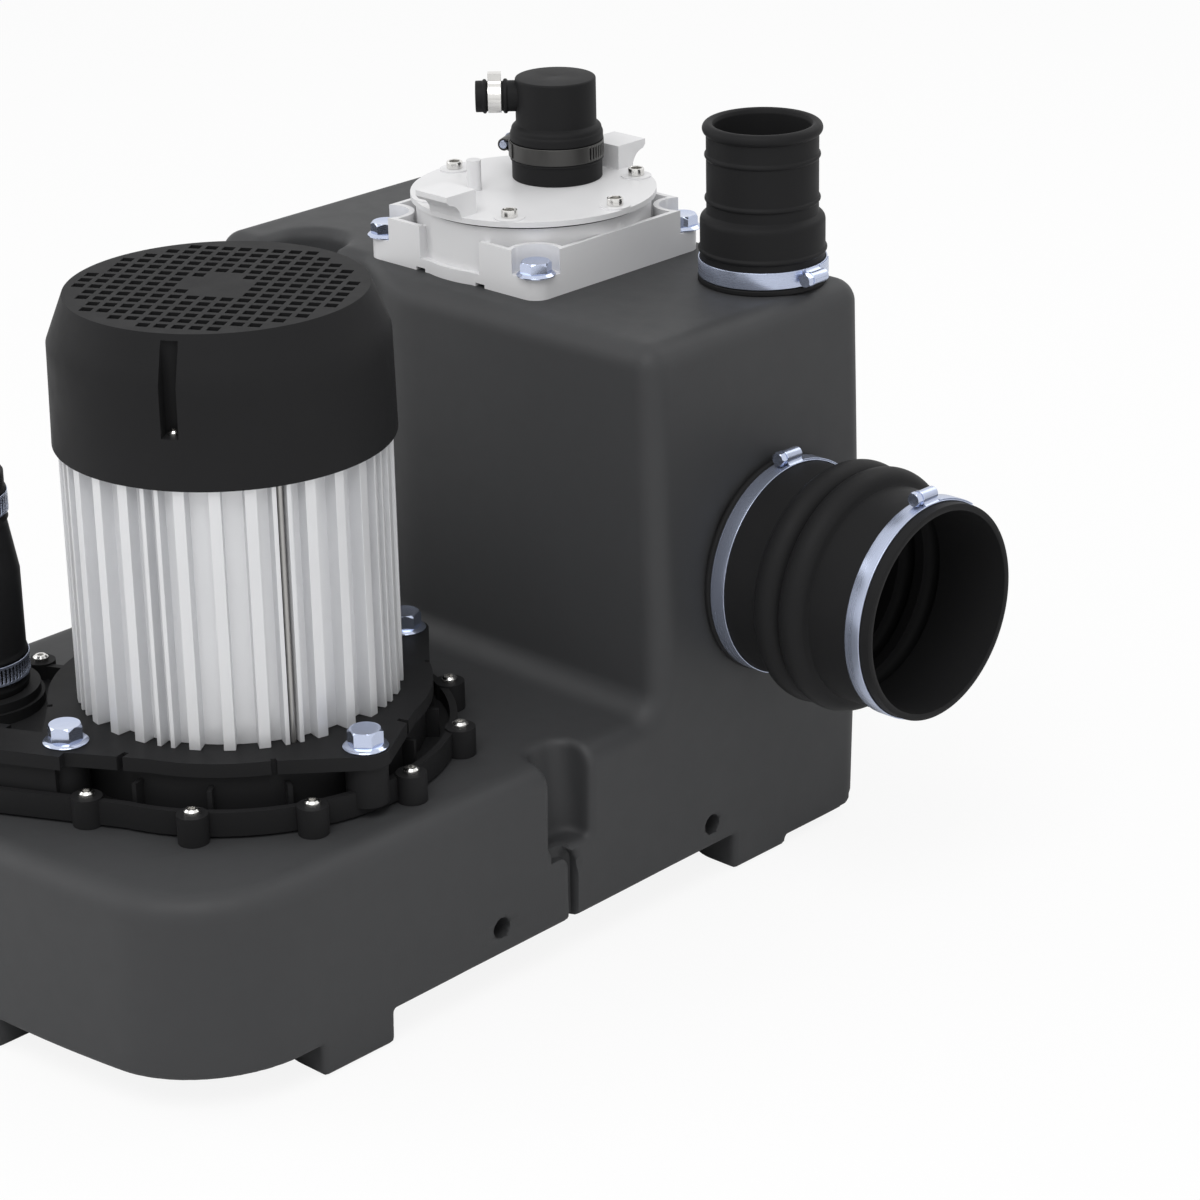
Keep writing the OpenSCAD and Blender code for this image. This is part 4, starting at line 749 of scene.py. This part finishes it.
        motor_x, motor_y, _ = middle("motor_housing") / MM - (mid_x, 0, 0)
        top_x, top_y, _ = middle("top_sleeve") / MM - (mid_x, 0, 0)
        side_y, side_z = middle("side_sleeve")[1:] / MM
        cover_y = middle("cover_gasket")[1] / MM
        under_top = 290 - z
        for gone in (
            hollow,
            np.maximum(np.hypot(y - side_y, z - side_z) - 52, 140 - x),
            np.maximum(np.hypot(x - top_x, y - top_y) - 27.5, under_top),
            np.maximum(np.hypot(x, y - cover_y) - 50, under_top),
            np.maximum(np.hypot(x - motor_x, y - motor_y) - 97, np.abs(z - self.deck) - 20),
        ):
            body = np.maximum(body, -gone)
        return body

    def grid(self):
        """Grid lines across, along and up, close together at edges, notches, holes and feet."""
        return [
            graded((-182, -150, 2.7), (-150, -140, 2.5), (-140, -88, 3.4), (-88, -30, 4.5),
                   (-30, -18, 3), (-18, 18, 9), (18, 30, 3), (30, 112, 8.2), (112, 124, 3),
                   (124, 140, 4), (140, 150, 2.5), (150, 182, 2.7)),
            graded((-258, -190, 4), (-190, -166, 6), (-166, -157, 2.2), (-157, -118, 13),
                   (-118, -108, 2.2), (-108, -42, 11), (-42, -29, 1.5), (-29, -6, 11.5),
                   (-6, 36, 1.8), (36, 60, 12), (60, 120, 2.7), (120, 134, 1.5), (134, 142, 4),
                   (142, 150, 2.2), (150, 185, 11.7), (185, 194, 2.2), (194, 235, 10.3),
                   (235, 258, 2.3)),
            graded((-2, 9, 1.5), (9, 14, 2.5), (14, 27, 1.6), (27, 43, 1.5), (43, 76, 1.9),
                   (76, 98, 5.5), (98, 132, 1.9), (132, 296, 16.4), (296, 321, 1.9)),
        ]


class PUMP_OT_sleeves(bpy.types.Operator):
    """Rubber inlet sleeves and discharge hose"""

    bl_idname = "pump.sleeves"
    bl_label = "Sleeves and hose"

    def execute(self, context):
        s = context.scene.pump_rubber
        self.side_sleeve(s)
        self.top_sleeve(s)
        self.hose(s)
        return {"FINISHED"}

    def side_sleeve(self, s):
        """Radius over length: a plain tube plus two round folds, each a circle's cap blended in by
        a soft maximum, and a lip at the root; the inside follows one wall further in."""
        wall, bore = s.wall / MM, s.side_bore / MM
        end = (high("side_sleeve")[0] - low("side_sleeve")[0]) / MM
        x = np.linspace(0.6, end - 0.6, 240)
        crests, fold_centre, fold_radius, soft = (44.5, 61.5), 2.9, 8.9, 3.6

        def folds(radius):
            """Height of each fold: a circle about its crest, on its centre's radius."""
            caps = [np.sqrt(np.maximum(radius**2 - (x - crest) ** 2, 0)) for crest in crests]
            return [bore + fold_centre + cap for cap in caps]

        rise = sum(np.exp(soft * (fold - bore - wall)) for fold in folds(fold_radius))
        outer = bore + wall + np.log(1 + rise) / soft
        inner = np.maximum(*folds(fold_radius - wall)) - fold_centre
        lip, lip_end = 1.7, 2.6
        outer += lip * (0.5 - 0.5 * np.tanh((x - lip_end) * 3))
        shape = lathe(self.tube(inner, outer, x, end, 0.7, 0.7), 160)
        centre = middle("side_sleeve") * (0, 1, 1) + low("side_sleeve") * (1, 0, 0)
        shape = stand(shape, centre, 0, "X")
        piece("side_sleeve_rubber", *shape, "black_rubber", ["side_sleeve"])

    def top_sleeve(self, s):
        """Turned outline with a foot, beads, a rounded shoulder and a rolled rim."""
        bore, lower, upper = s.top_bore / MM, 33.9, 30.3
        outline = [(lower, 0.1, 0.3), (35.2, 0.1, 0.4), (35.2, 2.7, 0.6), (lower, 3.0, 0.3)]
        outline += self.bead(lower, 17.6)
        outline += [(lower, 34.9, 2.4), (31.4, 37.0, 0.8), (upper, 37.8, 0.5)]
        outline += self.bead(upper, 45.2) + self.bead(upper, 69.0)
        roll_r, roll_at, roll_z = 3.3, 29.1, 83.5
        outline += [(roll_at + roll_r * math.cos(a), roll_z + roll_r * math.sin(a), 0.2)
                    for a in np.linspace(-1.19, 2.3, 15)]
        outline += [(bore, 84.2, 0.6), (bore, 25.1, 0.5), (29.7, 25.1, 0.3), (29.7, 0.1, 0.3)]
        shape = stand(lathe(eased(outline), 112), axis_of("top_sleeve", low("top_sleeve")[2]))
        piece("top_sleeve_rubber", *shape, "black_rubber", ["top_sleeve"])

    def hose(self, s):
        """Radius over height: a wide lower end, a cone and a narrow upper end, with low beads, each
        a bell curve."""
        end, wide, narrower, cone_start, cone_long = 121.0, 24.45, 4.45, 65, 27
        z = np.linspace(0.8, end - 0.8, 120)
        inner = wide - narrower * np.clip((z - cone_start) / cone_long, 0, 1)
        outer = inner + s.hose_wall / MM - 0.15
        bead, bead_half = 0.8, 0.9
        for height in (3.4, 20.2, 95.0, 111.0):
            outer += bead * np.exp(-(((z - height) / bead_half) ** 2))
        shape = lathe(self.tube(inner, outer, z, end, 0.5, 0.6), 96)
        shape = stand(shape, axis_of("discharge_hose", low("discharge_hose")[2]))
        piece("discharge_hose_rubber", *shape, "black_rubber", ["discharge_hose"])

    def tube(self, inner, outer, along, end, inner_ease, outer_ease):
        """Closed outline of a tube from its inner and outer radius along its length, with both
        rims eased."""
        rim = [(outer[-1] - outer_ease, end - 0.1), (inner[-1] + inner_ease, end - 0.1)]
        root = [(inner[0] + 0.4, 0.1), (outer[0] - 0.4, 0.1)]
        walls = [np.stack([radius, along], 1) for radius in (outer, inner)]
        return np.concatenate([walls[0], rim, walls[1][::-1], root])

    def bead(self, radius, height):
        """Outline corners of a low round bead."""
        crest = radius + 0.95
        return [(radius, height - 1.5, 0.4), (crest, height - 0.6, 0.5),
                (crest, height + 0.6, 0.5), (radius, height + 1.5, 0.4)]


class PUMP_OT_sensing_cap(bpy.types.Operator):
    """Rubber cap on the lid with its small side spigot"""

    bl_idname = "pump.sensing_cap"
    bl_label = "Sensing cap"

    def execute(self, context):
        centre = axis_of("dip_tube", low("sensing_cap")[2])
        spigot_turn = 224
        shape = joined([stand(self.cap(), centre), stand(self.spigot(), centre, spigot_turn)])
        piece("sensing_cap_rubber", *shape, "black_rubber", ["sensing_cap"])
        return {"FINISHED"}

    def cap(self):
        """Turned hollow cap, from the middle of its ceiling down, under the rim and up outside:
        a skirt with a bead, a ridge, a shoulder and a plain crown."""
        skirt, crown, top = 25.2, 22.4, 56.5
        outline = [(0.3, 52.1, 0.05), (18.2, 52.1, 1), (18.2, 24.3, 0.5), (22.3, 24.3, 0.3)]
        outline += [(22.3, 0.1, 0.3), (skirt, 0.1, 0.5), (skirt, 10.2, 0.2), (26.0, 10.8, 0.3)]
        outline += [(26.0, 11.7, 0.3), (skirt, 12.2, 0.2), (skirt, 21.4, 0.2), (25.9, 22.0, 0.6)]
        outline += [(25.9, 25.9, 1.2), (skirt, 27.0, 0.3), (25.0, 28.8, 1.4), (23.6, 30.2, 0.8)]
        outline += [(crown, 30.9, 0.5), (crown, top, 1.3), (0.3, top, 0.05)]
        return spun(np.pad(eased(outline, 5), ((0, 0), (0, 1))), 96)

    def spigot(self):
        """Turned tube with beads, laid level along X at its height."""
        tube = [(8.6, 16, 0.3), (8.6, 26.4, 0.3), (9.6, 27.0, 0.4), (9.6, 28.4, 0.4)]
        tube += [(8.2, 29.2, 0.3), (8.2, 37.8, 0.3), (9.5, 38.6, 0.4), (9.5, 39.8, 0.4)]
        tube += [(8.7, 40.4, 0.3), (8.7, 44.3, 0.6), (5.5, 44.3, 0.6), (5.5, 16, 0.3)]
        points, faces = lathe(eased(tube, 4), 64)
        height, (x, y, z) = 46, points.T
        return np.stack([z, y, height - x], 1), faces


class PUMP_OT_clamps(bpy.types.Operator):
    """Worm clamps: band with its loose tail, arched housing and hexagon screw"""

    bl_idname = "pump.clamps"
    bl_label = "Clamps"

    worm = 4.5

    def execute(self, context):
        side, hose = middle("side_sleeve"), middle("discharge_hose")
        cap, top = middle("dip_tube"), middle("top_sleeve")
        upright = dict(axis="X", head=1, finish="upright band")
        screws = [
            self.clamp("side_clamp_inner", side, 58.7, 9.5, 180, **upright),
            self.clamp("side_clamp_outer", side, 58.7, 9.5, 180, **upright),
            self.clamp("top_clamp", top, 34.1, 9.5, 0),
            self.clamp("discharge_clamp_lower", hose, 27.5, 11, 150, lift=1.5,
                       slots=(-120, 130, 48)),
            self.clamp("discharge_clamp_upper", hose, 23.0, 11, 150, lift=2,
                       slots=(-120, 130, 40)),
            self.clamp("sensing_cap_clamp", cap, 25.3, 9.2, 203, lift=3.2, slots=(-2, 62, 12),
                       finish="dark_band"),
        ]
        piece("clamp_screws_turned", *joined(screws), "zinc_steel", ["clamp_screws"], CRISP_ABOVE)
        return {"FINISHED"}

    def clamp(self, node, centre, radius, width, deg, axis="Z", lift=0.0, head=-1, slots=None,
              finish="level band"):
        """A strip round the axis, pierced where slots gives two angles and a count, with a second
        layer near the screw at deg and a housing over it. Returns the screw."""
        along = "XYZ".index(axis)
        centre = np.array(centre)
        centre[along] = low(node)[along] + lift * MM
        corners = [(0.05, 0.1), (0.85, 0.1), (0.85, width - 0.1), (0.05, width - 0.1)]
        strip = eased([(*corner, 0.3) for corner in corners], 4)
        tail_start, tail_turn = 6 / radius, 0.5
        tail = np.linspace(0, tail_turn, 24) + tail_start
        tail = -tail[::-1] if head > 0 else tail
        shapes = [swept(strip * (0.8, 0.9) + (0.9, width * 0.05), tail, radius)]
        if not slots:
            shapes.append(lathe(strip + (radius, 0), 160))
        shapes.append(self.housing(radius, width / 2))
        made = [stand(shape, centre, deg, axis) for shape in shapes]
        piece(node + "_band", *joined(made), SLOT_OF[node], [node], finish=finish)
        if slots:
            shape = stand(self.pierced(radius + 0.9, width, *slots), centre, 0, axis)
            made = piece(node + "_strip", *shape, SLOT_OF[node], [node], finish=finish)
            thicken(made, 0.5 * MM)
        points, faces = self.screw()
        x, y, z = points.T
        points = np.stack([x + radius + self.worm, head * z, width / 2 - head * y], 1)
        return stand((points, faces), centre, deg, axis)

    def screw(self):
        """Worm along Z with a collar and a plain hexagon head, its corners cut by a cone."""
        flats, start, end = 7.0, 6.0, 10.6
        cone = [(flats * (0.5 + 0.08 * (1 - k)), end - 0.7 * (1 - k), flats)
                for k in np.linspace(0, 1, 5)]
        thread = [(2.45 if n % 2 else 2.1, -6.2 + 0.55 * n, 0) for n in range(22)]
        collar = [(2.2, start, 0), (4.0, start, 0), (4.0, start + 0.6, 0)]
        foot = [(3.6, start + 0.7, flats), (flats, start + 1, flats)]
        return spun([*thread, *collar, *foot, *cone, (flats * 0.4, end - 0.05, 0)], 48)

    def housing(self, radius, mid):
        """A sheet with two flat feet and a round crown, drawn straight along the tangent with its
        ends a little lower."""
        arc = np.linspace(-0.6, math.pi + 0.6, 24)
        crown = np.stack([np.sin(arc), np.cos(arc)], 1)
        foot, crook, inner_crook, span = 4.4, 3.6, 2.4, 11.0
        outline = np.concatenate([
            [(0.9, mid + foot), (1.3, mid + crook)],
            crown * 3.5 + (self.worm, mid),
            [(1.3, mid - crook), (0.9, mid - foot), (0.6, mid - foot), (0.6, mid - inner_crook)],
            crown[::-1] * 2.8 + (self.worm, mid),
            [(0.6, mid + inner_crook), (0.6, mid + foot)],
        ])
        out, up = wound(outline)
        t = np.array([-0.5, -0.46, 0.46, 0.5])[:, None] * span
        lower = np.array([0.985, 1, 1, 0.985])[:, None]
        return closed_run(np.stack([radius + out * lower, t + 0 * out, up + 0 * t], 2))

    def pierced(self, reach, width, first, last, count):
        """A tube on a grid of angle and height whose cells are left out where a slot is: between
        the two angles, every second one in the middle row."""
        pitch, plain_step, slot_row = (last - first) / count, 2.5, 2
        edges = first + pitch * (np.arange(count)[:, None] + [0, 0.5]).ravel()
        plain_count = max(2, round((first + 360 - last) / plain_step))
        plain = np.linspace(last, first + 360, plain_count, endpoint=False)
        angle = np.radians(np.concatenate([edges, plain]))[:, None]
        heights = np.array([0, 0.04, 0.14, 0.86, 0.96, 1.0]) * width
        level = 0 * heights
        points = np.stack(
            [reach * np.cos(angle) + level, reach * np.sin(angle) + level, 0 * angle + heights], 2
        )
        around, rows = len(angle), len(heights)
        i, j = np.arange(around)[:, None], np.arange(rows - 1)
        slot = (i % 2 == 0) & (i < 2 * count) & (j == slot_row)
        faces = grid_faces(around, rows, ring_columns=False)[~slot.ravel()]
        return points.reshape(-1, 3), faces.tolist()


class PUMP_OT_fasteners(bpy.types.Operator):
    """Hexagon flange bolts and lid screws"""

    bl_idname = "pump.fasteners"
    bl_label = "Bolts and screws"

    def execute(self, context):
        motor, cover = middle("motor_housing")[:2], middle("cover_gasket")[:2]
        places = self.circle(motor, 107.5, -6, 4)
        bolt = self.bolt(collar=11.7, flats=16, height=10, shank=4)
        self.set_out("motor_bolts", bolt, places, [8, 20, -14, 3], "zinc_steel")
        off = 58 * MM
        places = [cover + (x * off, y * off) for x in (-1, 1) for y in (-1, 1)]
        bolt = self.bolt(collar=10.5, flats=15, height=8, shank=3.5)
        self.set_out("cover_bolts", bolt, places, [12, -9, 27, 4], "zinc_steel")
        places = self.circle(cover, 60, 2, 6)
        screw = self.socket(radius=4.5, height=4.2, flats=5.7, shank=2.2)
        self.set_out("lid_screws", screw, places, [10, 33, 5, 50, 22, 40], "bright_steel")
        return {"FINISHED"}

    def circle(self, centre, radius, start, count):
        """Evenly spread places on a circle, from a start angle, in metres."""
        angle = np.radians(start + 360 / count * np.arange(count))
        return centre + radius * MM * np.stack([np.cos(angle), np.sin(angle)], 1)

    def set_out(self, node, shape, places, turns, slot):
        """Copies of one fastener, each turned its own way and as high as the node, as one piece."""
        seat = high(node)[2] - shape[0][:, 2].max() * MM
        shapes = [stand(shape, (*place, seat), turn) for place, turn in zip(places, turns)]
        piece(node + "_turned", *joined(shapes), slot, [node], CRISP_ABOVE)

    def bolt(self, collar, flats, height, shank):
        """Coned collar under a hexagon whose upper corners are cut by a cone, with a dished top."""
        h, f = height, flats
        cone = [(f * (0.5 + 0.085 * (1 - k)), h - 1.5 * (1 - k), f) for k in np.linspace(0, 1, 7)]
        return spun([
            (shank, -12, 0), (shank, 0.05, 0),
            (collar - 0.4, 0.05, 0), (collar, 0.35, 0), (collar, 0.8, 0), (collar - 0.3, 1.1, 0),
            (f * 0.595, 2.2, 0), (f * 0.58, 2.25, f), (f, 2.5, f), (f, h - 1.8, f), *cone,
            (f * 0.44, h - 0.02, 0), (f * 0.36, h - 0.3, 0), (f * 0.1, h - 0.35, 0),
        ], 72)

    def socket(self, radius, height, flats, shank):
        """Round head with an eased rim and a hexagon recess."""
        r, h, f = radius, height, flats
        return spun([
            (shank, -12, 0), (shank, 0.05, 0), (r - 0.2, 0.05, 0), (r, 0.25, 0),
            (r, h - 0.7, 0), (r - 0.2, h - 0.2, 0), (r - 0.7, h, 0),
            (f * 0.62, h, 0), (f, h - 0.25, f), (f, h - 3.2, f), (0.4, h - 3.7, 0),
        ], 48)


class PUMP_OT_studio(bpy.types.Operator):
    """Camera, floor, lamps and white surround"""

    bl_idname = "pump.studio"
    bl_label = "Studio"

    def execute(self, context):
        scene, s = context.scene, context.scene.pump_studio
        self.camera(scene, s)
        self.lamp("key", (0.75, -1.1, 2.3), 1.6, s.key)
        self.lamp("fill", (-1.8, -1.2, 1.2), 1.4, s.fill)
        self.lamp("back", (0.2, 1.9, 1.9), 1.4, s.fill)
        self.floor(scene)
        self.surround(scene, s.sky)
        scene.view_settings.view_transform = "Standard"
        return {"FINISHED"}

    def camera(self, scene, s):
        """Camera at a fixed eye beside the tank's middle, turned by yaw, pitch and roll."""
        a, e, roll = s.yaw, s.pitch, s.roll
        back = Vector((math.sin(a) * math.cos(e), -math.cos(a) * math.cos(e), math.sin(e)))
        right = Vector((math.cos(a), math.sin(a), 0))
        up = back.cross(right)
        across = math.cos(roll) * right + math.sin(roll) * up
        upright = -math.sin(roll) * right + math.cos(roll) * up
        tank_x = low("tank")[0] + scene.pump_tank.width / 2
        eye = Vector((tank_x + 1.3717, -1.2069, 0.9096))
        camera = bpy.data.objects.new("camera", bpy.data.cameras.new("camera"))
        camera.data.lens, camera.data.sensor_width = s.lens, 36
        camera.data.clip_start, camera.data.clip_end = 0.05, 50
        camera.matrix_world = Matrix(
            [[across[n], upright[n], back[n], eye[n]] for n in range(3)] + [[0, 0, 0, 1]]
        )
        scene.collection.objects.link(camera)
        scene.camera = camera

    def lamp(self, name, place, size, power):
        """A large square lamp that looks at the object's middle."""
        data = bpy.data.lights.new(name, "AREA")
        data.energy, data.size = power, size
        lamp = bpy.data.objects.new(name, data)
        lamp.location = place
        aim = Vector((0, 0, 0.18)) - lamp.location
        lamp.rotation_euler = aim.to_track_quat("-Z", "Y").to_euler()
        bpy.context.scene.collection.objects.link(lamp)

    def floor(self, scene):
        """White floor that keeps the object's shadow and is mostly seen as plain white; what mirrors
        it shows its paint."""
        size, white_share = 6.0, 0.88
        corners = [(-size, -size, 0), (size, -size, 0), (size, size, 0), (-size, size, 0)]
        mesh = bpy.data.meshes.new("floor")
        mesh.from_pydata(corners, [], [(0, 1, 2, 3)])
        floor = bpy.data.objects.new("floor", mesh)
        scene.collection.objects.link(floor)
        look = Look("Floor paint", Specular_IOR_Level=0.0)
        speck, white, drift = look.noise(400), 0.94, 0.01
        tone = look.shades(speck, (white,) * 3, drift / white)
        look.set(Base_Color=tone, Roughness=0.9 + 0.05 * speck)
        paint = Value(look, look.shader.outputs[0])
        glow = look.node("ShaderNodeEmission", None, {"Color": (1, 1, 1), "Strength": 1.0})
        share = white_share * look.seen("Camera", "Transmission")
        mixed = look.node("ShaderNodeMixShader", None, {0: share, 1: paint, 2: glow})
        look.feed(look.tree.nodes["Material Output"], {"Surface": mixed})
        mesh.materials.append(look.material)

    def surround(self, scene, strength):
        """World that lights softly and is seen, mirrored and looked through as plain white."""
        world = bpy.data.worlds.new("surround")
        world.use_nodes = True
        world.node_tree.nodes.clear()
        scene.world = world
        tree = Tree(world.node_tree)
        light, white = (
            tree.node("ShaderNodeBackground", None, {"Color": (1, 1, 1), "Strength": power})
            for power in (strength, 1.0)
        )
        seen = tree.seen("Camera", "Glossy", "Transmission")
        mixed = tree.node("ShaderNodeMixShader", None, {0: seen, 1: light, 2: white})
        tree.feed(world.node_tree.nodes.new("ShaderNodeOutputWorld"), {"Surface": mixed})


class PUMP_PT_sidebar(bpy.types.Panel):
    """Sizes, colours and pieces of the pump"""

    bl_label = "Pump"
    bl_idname = "PUMP_PT_sidebar"
    bl_space_type = "VIEW_3D"
    bl_region_type = "UI"
    bl_category = "Pump"

    def draw(self, context):
        for group in (getattr(context.scene, name) for name in SETTINGS):
            box = self.layout.box()
            for name in group.__annotations__:
                box.prop(group, name)
        for operator in PIECES:
            self.layout.operator(operator.bl_idname)


SETTINGS = {
    "pump_tank": PumpTankSettings,
    "pump_rubber": PumpRubberSettings,
    "pump_finish": PumpFinishSettings,
    "pump_studio": PumpStudioSettings,
}
PIECES = [
    PUMP_OT_finishes, PUMP_OT_cad_finish, PUMP_OT_tank, PUMP_OT_sleeves, PUMP_OT_sensing_cap,
    PUMP_OT_clamps, PUMP_OT_fasteners, PUMP_OT_studio,
]


def register():
    for cls in [*SETTINGS.values(), *PIECES, PUMP_PT_sidebar]:
        bpy.utils.register_class(cls)
    for name, cls in SETTINGS.items():
        setattr(bpy.types.Scene, name, bpy.props.PointerProperty(type=cls))


def unregister():
    for name in SETTINGS:
        delattr(bpy.types.Scene, name)
    for cls in reversed([*SETTINGS.values(), *PIECES, PUMP_PT_sidebar]):
        bpy.utils.unregister_class(cls)


def main():
    register()
    bpy.ops.pump.finishes()
    bpy.ops.pump.cad_finish()
    bpy.ops.pump.tank()
    bpy.ops.pump.sleeves()
    bpy.ops.pump.sensing_cap()
    bpy.ops.pump.clamps()
    bpy.ops.pump.fasteners()
    bpy.ops.pump.studio()


if __name__ == "__main__":
    main()
